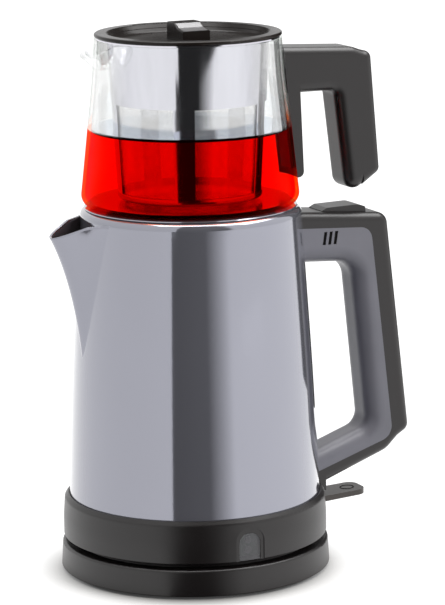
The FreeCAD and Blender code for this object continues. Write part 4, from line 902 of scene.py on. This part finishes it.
NODES_BY_FINISH: Dict[Finish, Tuple[str, ...]] = {
    BLACK: ("base_housing", "collar", "handle_outer", "lid_button", "teapot_handle_outer",
            "teapot_handle_inner"),
    PADDLE_PAINTED_LIGHT: ("switch_paddle",),
    LID_BLACK: ("teapot_lid",),
    DARK: ("base_plate", "socket_hub", "socket_ring", "bottom_cover", "control_unit", "kettle_lid"),
    GREY: ("kettle_body", "kettle_spout", "seat_ring"),
    GREY_PLASTIC: ("handle_inner",),
    PALE_PLASTIC: ("lid_tab_insert",),
    STEEL: ("base_screws", "cover_screws", "switch_pin", "spout_filter", "lid_hinge_pin",
            "heating_plate", "handle_brackets", "handle_screws", "button_spring"),
    POLISHED: ("strainer_frame",),
    MESH: ("strainer_mesh", "strainer_floor"),
    RUBBER: ("base_feet", "cord_bush", "plate_gasket", "kettle_lid_seal", "teapot_lid_seal"),
    PAD: ("handle_pads",),
    SILICONE: ("steam_tube",),
    BRASS: ("socket_terminals", "plug_contacts"),
    ALUMINIUM: ("heat_spreader", "heating_element"),
    BIMETAL: ("bimetal_discs",),
    GLASS: ("teapot_glass",),
    SMOKED: ("indicator_window",),
    LAMP: ("indicator_leds",),
    BOARD: ("led_board",),
}


# ---------------------------------------------------------------- mesh making


class Former:
    """Makes mesh objects from simple descriptions. Sizes are in millimetres."""

    @staticmethod
    def build(name: str, mesh: bmesh.types.BMesh, finish: Finish, body: Body, slot: str,
              smooth: bool = True) -> bpy.types.Object:
        """Turns a bmesh into a piece that rides on a body.

        Args:
            name: The piece's name.
            mesh: Its geometry, in millimetres.
            finish: Its finish.
            body: The CAD body it rides on.
            slot: The record's material slot; not used.
            smooth: Whether its faces are shaded smooth.

        Returns:
            The piece.
        """
        bmesh.ops.scale(mesh, vec=(MM, MM, MM), verts=mesh.verts)
        bmesh.ops.recalc_face_normals(mesh, faces=mesh.faces)
        piece = Former.place(name, mesh)
        for face in piece.data.polygons:
            face.use_smooth = smooth
        piece.data.materials.append(finish.material())
        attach(piece, body.value)
        LOG.info("piece %s: %d faces on %s", name, len(piece.data.polygons), body.value)
        return piece

    @staticmethod
    def place(name: str, mesh: bmesh.types.BMesh) -> bpy.types.Object:
        """Puts a bmesh in the scene.

        Args:
            name: The object's name.
            mesh: Its geometry in metres, which is used up.

        Returns:
            The object.
        """
        data = bpy.data.meshes.new(name)
        mesh.to_mesh(data)
        mesh.free()
        made = bpy.data.objects.new(name, data)
        bpy.context.scene.collection.objects.link(made)
        return made

    @staticmethod
    def lathe(profile: Sequence[Point2], steps: int, closed: bool = False) -> bmesh.types.BMesh:
        """Turns a profile about the Z axis.

        Args:
            profile: Pairs of radius and height.
            steps: How many steps go round.
            closed: Whether the profile's end joins its start.

        Returns:
            The geometry.
        """
        mesh = bmesh.new()
        rings: List[Ring] = []
        for radius, height in profile:
            if radius == 0.0:
                rings.append([mesh.verts.new((0.0, 0.0, height))])
                continue
            turns = (FULL_TURN * step / steps for step in range(steps))
            rings.append([mesh.verts.new((radius * math.cos(turn), radius * math.sin(turn), height))
                          for turn in turns])
        for low, high in zip(rings, rings[1:] + rings[:1] if closed else rings[1:]):
            Former.band(mesh, low, high)
        return mesh

    @staticmethod
    def band(mesh: bmesh.types.BMesh, low: Ring, high: Ring) -> None:
        """Joins two rings, either of which may be a single point.

        Args:
            mesh: The geometry.
            low: The first ring.
            high: The second ring.
        """
        steps = max(len(low), len(high))
        for step in range(steps):
            after = (step + 1) % steps
            corners = [low[step % len(low)], low[after % len(low)], high[after % len(high)],
                       high[step % len(high)]]
            mesh.faces.new(list(dict.fromkeys(corners)))

    @staticmethod
    def strip(mesh: bmesh.types.BMesh, left: Ring, right: Ring) -> None:
        """Joins two open rows of points.

        Args:
            mesh: The geometry.
            left: The first row.
            right: The second row.
        """
        for number in range(len(left) - 1):
            mesh.faces.new((left[number], right[number], right[number + 1], left[number + 1]))


# ---------------------------------------------------------------- sub-assemblies


@dataclass
class TeaInPot:
    """The tea in the teapot. Heights and radii are in millimetres.

    Args:
        glass: The inside of the glass, as pairs of height and radius.
        heights: The heights of the tea's rings below its climb.
        level: The height that the tea reaches on the glass.
        climb: How far the tea climbs the glass there.
        gap: The gap between the tea and the glass.
        shelf: How far the level top stays inside the tea's rim.
        steps: How many steps go round.
    """

    glass: Tuple[Point2, ...] = (
        (219.6, 58.0), (221.0, 60.6), (224.0, 61.4), (227.0, 61.3), (249.0, 58.8), (261.0, 57.4),
    )
    heights: Tuple[float, ...] = (
        219.95, 220.4, 221.0, 222.4, 224.0, 227.0, 234.0, 241.0, 249.0, 255.0,
    )
    level: float = TEA_LEVEL
    climb: float = 1.6
    gap: float = 0.25
    shelf: float = 0.03
    steps: int = 160

    def radius(self, height: float) -> float:
        """The radius of the tea.

        Args:
            height: The height in millimetres.

        Returns:
            The radius in millimetres.
        """
        for (low, first), (high, last) in zip(self.glass, self.glass[1:]):
            if height <= high:
                return first + (last - first) * (height - low) / (high - low) - self.gap
        return self.glass[-1][1] - self.gap

    def make(self) -> None:
        """Makes the tea, its underside, a dark ring of painted shade where it climbs the glass, and its
        level top.
        """
        wall = [(self.radius(height), height) for height in (*self.heights, self.level - self.climb)]
        rim = (self.radius(self.level), self.level)
        parts = (
            ("tea", wall, TEA),
            ("tea_floor", [(0.0, wall[0][1]), wall[0]], TEA_FLOOR),
            # The dark ring is painted shade.
            ("tea_painted_shade_ring", [wall[-1], rim], TEA_SHADE_RING),
            ("tea_level", [(rim[0] - self.shelf, self.level), (0.0, self.level)], TEA_TOP),
        )
        for name, profile, finish in parts:
            Former.build(name, Former.lathe(profile, self.steps), finish, Body.POT, "glass")


@dataclass
class KettleSpout:
    """The kettle's sheet spout, blended softly into the body. Sizes are in millimetres.

    Args:
        foot: The height where it leaves the body.
        tip: The height of its nose at the mouth.
        tip_reach: How far the nose stands out from the body there.
        growth: The shares of that reach that grow with the height, its square and its fifth power.
        half_width: Half of its width there.
        least_half: The least half of its width, at the foot.
        flare: The power of the height that its width grows with.
        roundness: The power that shapes its level sections, from a broad nose to a narrow one.
        sheet: The thickness of its sheet.
        front_sheet: How much thicker the sheet is measured along the spout's reach.
        buried: How far its edges are set into the body.
        top: The radius and height of the body's top.
        taper: The growth of the body's radius per millimetre down.
        mouth_front: How far from the axis the mouth starts to rise.
        mouth_bend: How far behind that it rises less steeply.
        mouth_slopes: The two slopes of the mouth.
        columns: How many steps go round it.
        rows: How many steps go up it.
        tries: How many steps close in on the mouth's edge.
    """

    foot: float = 131.0
    tip: float = 203.7
    tip_reach: float = 22.9
    growth: Point3 = (0.474, 0.431, 0.095)
    half_width: float = 21.5
    least_half: float = 0.5
    flare: float = 0.7
    roundness: float = 1.7
    sheet: float = 1.1
    front_sheet: float = 1.2
    buried: Point2 = (0.15, 0.5)
    top: Point2 = (65.0, 214.9)
    taper: float = 0.0641
    mouth_front: float = 90.0
    mouth_bend: float = 18.0
    mouth_slopes: Point2 = (0.4167, 0.094)
    columns: int = 64
    rows: int = 48
    tries: int = 8

    def spot(self, turn: float, height: float, inset: float = 0.0) -> Vector:
        """A point of the sheet.

        Args:
            turn: The place across it, from -1 to 1, with the nose at 0.
            height: The height.
            inset: How far inside the outer skin it is.

        Returns:
            The point.
        """
        share = max(0.0, (height - self.foot) / (self.tip - self.foot))
        plain, square, fifth = self.growth
        reach = self.tip_reach * (plain * share + square * share ** 2 + fifth * share ** 5)
        aside = max(self.least_half, self.half_width * share ** self.flare - inset) * turn
        out = reach * math.cos(0.5 * math.pi * turn) ** self.roundness - inset * self.front_sheet
        top_radius, top_height = self.top
        radius = top_radius + (top_height - height) * self.taper - self.buried[0]
        wall = math.sqrt(radius ** 2 - aside ** 2)
        return Vector((-wall - max(out, -self.buried[1]), aside, height))

    def rim(self, turn: float) -> float:
        """The height of the mouth's edge, closed in on step by step.

        Args:
            turn: The place across the spout.

        Returns:
            The height.
        """
        steep, shallow = self.mouth_slopes
        height = self.tip
        for _ in range(self.tries):
            inward = max(0.0, self.mouth_front + self.spot(turn, height).x)
            beyond = max(0.0, inward - self.mouth_bend)
            height = self.tip + min(inward, self.mouth_bend) * steep + beyond * shallow
        return height

    def skin(self, mesh: bmesh.types.BMesh, inset: float) -> List[Ring]:
        """Adds the points of one side of the sheet.

        Args:
            mesh: The geometry.
            inset: How far inside the outer skin it is.

        Returns:
            Its columns of points, from the foot up.
        """
        columns = []
        for column in range(self.columns + 1):
            turn = 2.0 * column / self.columns - 1.0
            rise = (self.rim(turn) - self.foot) / self.rows
            columns.append([mesh.verts.new(self.spot(turn, self.foot + rise * row, inset))
                            for row in range(self.rows + 1)])
        return columns

    def make(self) -> None:
        """Makes the spout in place of the plainer one, lacquered outside, with painted shade on its inside
        skin.
        """
        mesh = bmesh.new()
        outer, inner = self.skin(mesh, 0.0), self.skin(mesh, self.sheet)
        for skin in (outer, inner):
            for left, right in zip(skin, skin[1:]):
                Former.strip(mesh, left, right)
        for row in (0, -1):
            Former.strip(mesh, [column[row] for column in outer], [column[row] for column in inner])
        for column in (0, -1):
            Former.strip(mesh, outer[column], inner[column])
        piece = Former.build("kettle_spout_sheet", mesh, GREY, Body.KETTLE, "grey_paint")
        # The inner skin takes the painted shade; the outer skin and the edges keep the grey lacquer.
        piece.data.materials.append(SPOUT_PAINTED_SHADE.material())
        skin_faces = self.columns * self.rows
        for face in piece.data.polygons:
            face.use_smooth = face.index < 2 * skin_faces
            face.material_index = int(skin_faces <= face.index < 2 * skin_faces)
        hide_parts("kettle_spout")


@dataclass
class PaddleMark:
    """The plain raised ring on the switch paddle. Sizes are in millimetres.

    Args:
        centre: How far its middle is from the kettle's axis.
        radius: Its mean radius.
        width: The width of its line.
        rise: How far it stands out of the paddle, with the part sunk into it.
        sunk: How far it is sunk into the paddle.
        deck: A point of the paddle's top, as X and Z.
        slope: The rise of the paddle's top over its run.
        steps: How many steps go round.
    """

    centre: float = 101.4
    radius: float = 4.0
    width: float = 0.7
    rise: float = 0.22
    sunk: float = 0.02
    deck: Point2 = (60.0, 31.4)
    slope: Point2 = (2.5, 51.5)
    steps: int = 64

    def make(self) -> None:
        """Makes the ring."""
        inside, outside = self.radius - self.width / 2, self.radius + self.width / 2
        profile = ((inside, 0.0), (inside, self.rise), (outside, self.rise), (outside, 0.0))
        mesh = Former.lathe(profile, self.steps, closed=True)
        up, along = self.slope
        height = self.deck[1] + (self.centre - self.deck[0]) * up / along - self.sunk
        tilt = Matrix.Rotation(-math.atan2(up, along), 4, "Y")
        spot = Matrix.Translation((self.centre, 0.0, height))
        bmesh.ops.transform(mesh, matrix=spot @ tilt, verts=mesh.verts)
        Former.build("paddle_ring_mark", mesh, PRINT_AND_PAINTED_SHADE, Body.LEVER, "black_plastic")


@dataclass
class ButtonSpring:
    """The lid button's coil spring. Sizes are in millimetres.

    Args:
        foot: Where its axis stands.
        radius: The coil's radius.
        wire: The wire's radius.
        pitch: The rise of one turn.
        length: Its length at rest.
        travel: How far the button goes down; not used.
        steps: How many steps make one turn.
        sides: How many sides the wire has.
    """

    foot: Point3 = (96.0, 0.0, 179.4)
    radius: float = 3.4
    wire: float = 0.5
    pitch: float = 2.6
    length: float = 20.16
    travel: float = 3.0
    steps: int = 30
    sides: int = 12

    def section(self, mesh: bmesh.types.BMesh, turn: float, height: float) -> Ring:
        """Adds one ring of the wire.

        Args:
            mesh: The geometry.
            turn: How far round the coil it is, in radians.
            height: The height of the wire's middle above the foot.

        Returns:
            The ring.
        """
        upward = Vector((0.0, 0.0, 1.0))
        outward = Vector((math.cos(turn), math.sin(turn), 0.0))
        middle = Vector(self.foot) + outward * self.radius + upward * height
        angles = (FULL_TURN * side / self.sides for side in range(self.sides))
        return [mesh.verts.new(middle + self.wire * (outward * math.cos(angle) + upward * math.sin(angle)))
                for angle in angles]

    def make(self) -> None:
        """Makes the spring in place of the rigid one."""
        mesh = bmesh.new()
        rise = self.length - 2.0 * self.wire
        turns = rise / self.pitch
        steps = int(turns * self.steps)
        rings = [self.section(mesh, FULL_TURN * turns * step / steps, self.wire + rise * step / steps)
                 for step in range(steps + 1)]
        for low, high in zip(rings, rings[1:]):
            Former.band(mesh, low, high)
        mesh.faces.new(rings[0])
        mesh.faces.new(list(reversed(rings[-1])))
        piece = Former.build("lid_button_spring", mesh, STEEL, Body.KETTLE, "steel")
        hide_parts("button_spring")
        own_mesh(piece)


@dataclass
class Vents:
    """Painted shade in the slanted slots in the handle's side: black fills at their bottoms. Sizes are in
    millimetres.

    Args:
        count: How many slots there are.
        first: The middle of the first slot, as X and Z.
        pitch: The distance between slots.
        half: Half of a slot's width and half of its height.
        slant: How far its top leans to +X from its middle.
        depths: The inner and the outer end of a slot's fill, as -Y.
    """

    count: int = 3
    first: Point2 = (80.6, 191.5)
    pitch: float = 3.6
    half: Point2 = (0.95, 3.85)
    slant: float = 0.6
    depths: Point2 = (12.95, 14.15)

    def make(self) -> None:
        """Makes the black fills of painted shade."""
        mesh = bmesh.new()
        wide, tall = self.half
        for number in range(self.count):
            middle, height = self.first[0] + number * self.pitch, self.first[1]
            outline = [(middle + side * wide + end * self.slant, height + end * tall)
                       for side, end in ((-1, -1), (1, -1), (1, 1), (-1, 1))]
            back, front = ([mesh.verts.new((across, -depth, up)) for across, up in outline]
                           for depth in self.depths)
            mesh.faces.new(back)
            mesh.faces.new(list(reversed(front)))
            Former.band(mesh, back, front)
        # The fills are painted shade in the slots.
        Former.build("vent_painted_shades", mesh, PRINT_AND_PAINTED_SHADE, Body.KETTLE, "dark_plastic", smooth=False)


# ---------------------------------------------------------------- stage


def level_ways(azimuth: float) -> Tuple[Vector, Vector]:
    """Two level directions from the object.

    Args:
        azimuth: A direction in degrees, 0 being the front and more being towards +X.

    Returns:
        The direction itself, and the one to the right of someone who looks from there.
    """
    turn = math.radians(azimuth)
    return (Vector((math.sin(turn), -math.cos(turn), 0.0)), Vector((math.cos(turn), math.sin(turn), 0.0)))


@dataclass(frozen=True)
class SoftBox:
    """A rectangular lamp that faces the object and shows in no mirror.

    Args:
        name: Its name.
        azimuth: Its direction in degrees.
        distance: Its level distance in metres.
        height: The height of its middle in metres.
        size: Its width and height in metres.
        power: Its power in watts.
        colour: Its colour.
        aim: The height in metres that it faces.
    """

    name: str
    azimuth: float
    distance: float
    height: float
    size: Point2
    power: float
    colour: Colour = WHITE
    aim: float = 0.17

    def hang(self) -> None:
        """Hangs the lamp."""
        data = bpy.data.lights.new(self.name, "AREA")
        data.shape = "RECTANGLE"
        data.size, data.size_y = self.size
        data.energy = self.power
        data.color = self.colour
        lamp = bpy.data.objects.new(self.name, data)
        lamp.visible_glossy = False
        way, _ = level_ways(self.azimuth)
        lamp.location = way * self.distance + Vector((0.0, 0.0, self.height))
        lamp.rotation_mode = "QUATERNION"
        lamp.rotation_quaternion = (Vector((0.0, 0.0, self.aim)) - lamp.location).to_track_quat("-Z", "Y")
        bpy.context.scene.collection.objects.link(lamp)


@dataclass(frozen=True)
class Card:
    """A card that only reflections see, square to the camera's direction or flat. Sizes are in metres.

    Args:
        name: Its name.
        sides: Its left and right edges, from the object's axis.
        ends: Its lower and upper edges, or its near and far edges where it lies flat.
        soft: The width over which its right edge fades.
        away: How far it is from the object's axis, or its height where it lies flat.
        flat: Whether it lies flat.
        fan: How strongly it widens away from the object, so that it meets an upright one at `meet`.
        meet: The end at which a fanned card has the width that its sides say.
        colour: Its grey, or more than 1 where it shines.
    """

    name: str
    sides: Point2
    ends: Point2
    soft: float
    away: float = 0.45
    flat: bool = False
    fan: float = 0.0
    meet: float = 0.45
    colour: float = 0.027

    def shader(self, graph: Graph) -> Wire:
        """Builds its look, which fades out at its right edge.

        Args:
            graph: The material's graph.

        Returns:
            The shader.
        """
        across, up, _ = graph.axes(graph.place())
        right = self.sides[1]
        fade = (across / (1.0 + (up - self.meet) * self.fan)).ramp(right - self.soft, right)
        return graph.mix_shader(fade, graph.glow((self.colour,) * 3, 1.0), graph.clear())

    def put_up(self, azimuth: float) -> None:
        """Puts up the card.

        Args:
            azimuth: The camera's direction in degrees.
        """
        back, aside = level_ways(azimuth)
        upward = Vector((0.0, 0.0, 1.0))
        along, start = (back, upward * self.away) if self.flat else (upward, back * self.away)
        (left, right), (low, high) = self.sides, self.ends
        near, far = (1.0 + self.fan * (end - self.meet) for end in self.ends)
        mesh = bmesh.new()
        corners = ((left * near, low), (right * near, low), (right * far, high), (left * far, high))
        mesh.faces.new([mesh.verts.new((across, up, 0.0)) for across, up in corners])
        card = Former.place(self.name, mesh)
        turn = Matrix((aside, along, aside.cross(along))).transposed().to_4x4()
        card.matrix_world = Matrix.Translation(start) @ turn
        material, graph = new_material(self.name)
        graph.end("ShaderNodeOutputMaterial", "Surface", self.shader(graph))
        card.data.materials.append(material)
        card.visible_camera = False
        card.visible_diffuse = False
        card.visible_shadow = False
        card.visible_transmission = False


@dataclass(frozen=True)
class Floor:
    """The pale floor, which fades to white away from the object, keeps the lamps' shadow and has a painted
    shadow under the object.

    Args:
        half: Half of its width in metres.
        sunk: How far it lies below the feet in metres.
        squares: How many squares it has along each side.
        pale: Its darkest and lightest grey.
        clouds: The fineness of the clouds between them.
        roughness: Its roughness.
        sheen: How strongly it mirrors.
        bounce: Its grey for light that bounces off it.
        contact: Its grey right under the object, a painted shadow.
        shadow: The distances in metres over which that grey ends.
        fade: The distances in metres over which it turns white.
        least: The share of white right under the object.
        white: The further share of white away from it.
        shift: How far the middle of these distances lies towards the camera, as X and Y in metres.
        strength: The strength of the white.
    """

    half: float = 6.0
    sunk: float = 0.0002
    squares: int = 24
    pale: Point2 = (0.93, 0.95)
    clouds: float = 3.0
    roughness: float = 0.7
    sheen: float = 0.2
    bounce: float = 0.25
    contact: float = 0.3
    shadow: Point2 = (0.071, 0.086)
    fade: Point2 = (0.072, 0.099)
    least: float = 0.03
    white: float = 0.9
    shift: Point2 = (-0.0035, -0.0075)
    strength: float = 1.3

    def shader(self, graph: Graph) -> Wire:
        """Builds the floor's look.

        Args:
            graph: The material's graph.

        Returns:
            The shader.
        """
        middle = graph.vector("SUBTRACT", graph.place(), (*self.shift, 0.0))
        away = graph.node("ShaderNodeVectorMath", {0: middle}, out="Value", operation="LENGTH")
        pale = graph.mix(graph.noise(self.clouds), *((grey,) * 3 for grey in self.pale))
        # Painted shadow: the floor's colour turns to the contact grey right under the object.
        seen = graph.mix(away.ramp(*self.shadow), (self.contact,) * 3, pale)
        paper = graph.principled({
            "Base Color": graph.mix(graph.ray(Ray.DIFFUSE), seen, (self.bounce,) * 3),
            "Roughness": self.roughness,
            "Specular IOR Level": self.sheen,
        })
        direct = graph.ray(Ray.CAMERA) + graph.ray(Ray.GLOSSY)
        looked = direct.math(MathOp.ADD, graph.ray(Ray.TRANSMISSION), clamp=True)
        share = looked * (self.least + away.ramp(*self.fade) * self.white)
        return graph.mix_shader(share, paper, graph.glow(WHITE, self.strength))

    def lay(self) -> None:
        """Lays the floor."""
        mesh = bmesh.new()
        bmesh.ops.create_grid(mesh, x_segments=self.squares, y_segments=self.squares, size=self.half)
        floor = Former.place("floor", mesh)
        floor.location = (0.0, 0.0, -self.sunk)
        material, graph = new_material("pale floor")
        graph.end("ShaderNodeOutputMaterial", "Surface", self.shader(graph))
        floor.data.materials.append(material)


SOFT_BOXES = (
    SoftBox("key", 35.0, 1.7, 0.7, (0.8, 1.4), 17.0),
    SoftBox("fill", -95.0, 1.6, 0.75, (0.9, 1.4), 3.0),
    SoftBox("top", 0.0, 0.3, 1.7, (1.2, 1.2), 12.0, colour=(1.0, 0.95, 0.87)),
)
CARDS = (
    Card("low card", (-0.143, 0.33), (0.0, 0.195), 0.22),
    Card("high card", (-0.106, 0.42), (0.195, 1.6), 0.07),
    Card("floor card", (-0.143, 0.33), (0.08, 0.45), 0.22, away=0.0005, flat=True, fan=2.415),
    Card("back card", (0.15, 0.6), (0.0, 0.7), 0.05, away=-0.4),
    Card("lid card", (-0.035, 0.055), (0.326, 0.42), 0.03, away=-0.12, colour=0.12),
    Card("top glow", (-0.4, 1.15), (-0.6, 0.3), 0.3, away=1.2, flat=True, colour=6.5),
)


@dataclass
class Stage:
    """Floor, light, background and camera.

    Args:
        azimuth: The camera's direction in degrees, 0 being the front and less being towards -X.
        distance: Its level distance in metres.
        height: Its height in metres.
        pitch: How far it looks down, in degrees.
        roll: Its roll in degrees.
        aside: Its shift to the right in metres.
        lens: Its focal length in millimetres.
        nearest: How near it still sees, in metres.
        shown: How bright the surroundings are where they are looked at.
        mirrored: How bright they look in mirrored light.
        lit: How much light they give.
        layers: How many see-through layers a ray passes at most, for glass, tea and mesh in a row.
    """

    azimuth: float = -24.5
    distance: float = 1.8
    height: float = 0.52
    pitch: float = 11.38
    roll: float = 0.75
    aside: float = 0.018
    lens: float = 185.4
    nearest: float = 0.05
    shown: float = 1.0
    mirrored: float = 1.0
    lit: float = 0.13
    layers: int = 24

    def world(self) -> None:
        """Makes surroundings that are white where they are looked at and dimmer as a light."""
        world = bpy.data.worlds.new("studio")
        bpy.context.scene.world = world
        world.use_nodes = True
        graph = Graph(world.node_tree)
        seen = graph.ray(Ray.CAMERA).math(MathOp.ADD, graph.ray(Ray.TRANSMISSION), clamp=True)
        direct = 1.0 - graph.ray(Ray.DIFFUSE_DEPTH).math(MathOp.MINIMUM, 1.0)
        mirror = graph.ray(Ray.GLOSSY) * direct * (self.mirrored - self.lit)
        strength = seen * (self.shown - self.lit) + self.lit + mirror
        back = graph.node("ShaderNodeBackground", {"Color": WHITE, "Strength": strength})
        graph.end("ShaderNodeOutputWorld", "Surface", back)

    def camera(self) -> None:
        """Puts the camera at its place."""
        back, right = level_ways(self.azimuth)
        data = bpy.data.cameras.new("camera")
        data.lens = self.lens
        data.clip_start = self.nearest
        camera = bpy.data.objects.new("camera", data)
        camera.location = back * self.distance + right * self.aside + Vector((0.0, 0.0, self.height))
        down = math.radians(self.pitch)
        look = -back * math.cos(down) - Vector((0.0, 0.0, math.sin(down)))
        roll = Matrix.Rotation(math.radians(self.roll), 3, look).to_quaternion()
        camera.rotation_mode = "QUATERNION"
        camera.rotation_quaternion = roll @ look.to_track_quat("-Z", "Y")
        bpy.context.scene.collection.objects.link(camera)
        bpy.context.scene.camera = camera

    def make(self) -> None:
        """Makes the whole stage."""
        self.world()
        Floor().lay()
        self.camera()
        for lamp in SOFT_BOXES:
            lamp.hang()
        for card in CARDS:
            card.put_up(self.azimuth)
        bpy.context.scene.view_settings.view_transform = "Standard"
        bpy.context.scene.cycles.transparent_max_bounces = self.layers
        LOG.info("stage is set")


def finish_nodes(nodes: Dict[str, bpy.types.Object]) -> None:
    """Gives each CAD node its finish.

    Args:
        nodes: The CAD nodes by name.
    """
    for finish, names in NODES_BY_FINISH.items():
        for name in names:
            materials = nodes[name].data.materials
            materials.clear()
            materials.append(finish.material())
            LOG.info("piece %s: %s", name, finish.name)


def main() -> None:
    """Builds the scene."""
    logging.basicConfig(level=logging.INFO, format="%(name)s: %(message)s")
    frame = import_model()
    finish_nodes(frame["nodes"])
    for part in (TeaInPot(), KettleSpout(), PaddleMark(), ButtonSpring(), Vents(), Stage()):
        part.make()


if __name__ == "__main__":
    main()
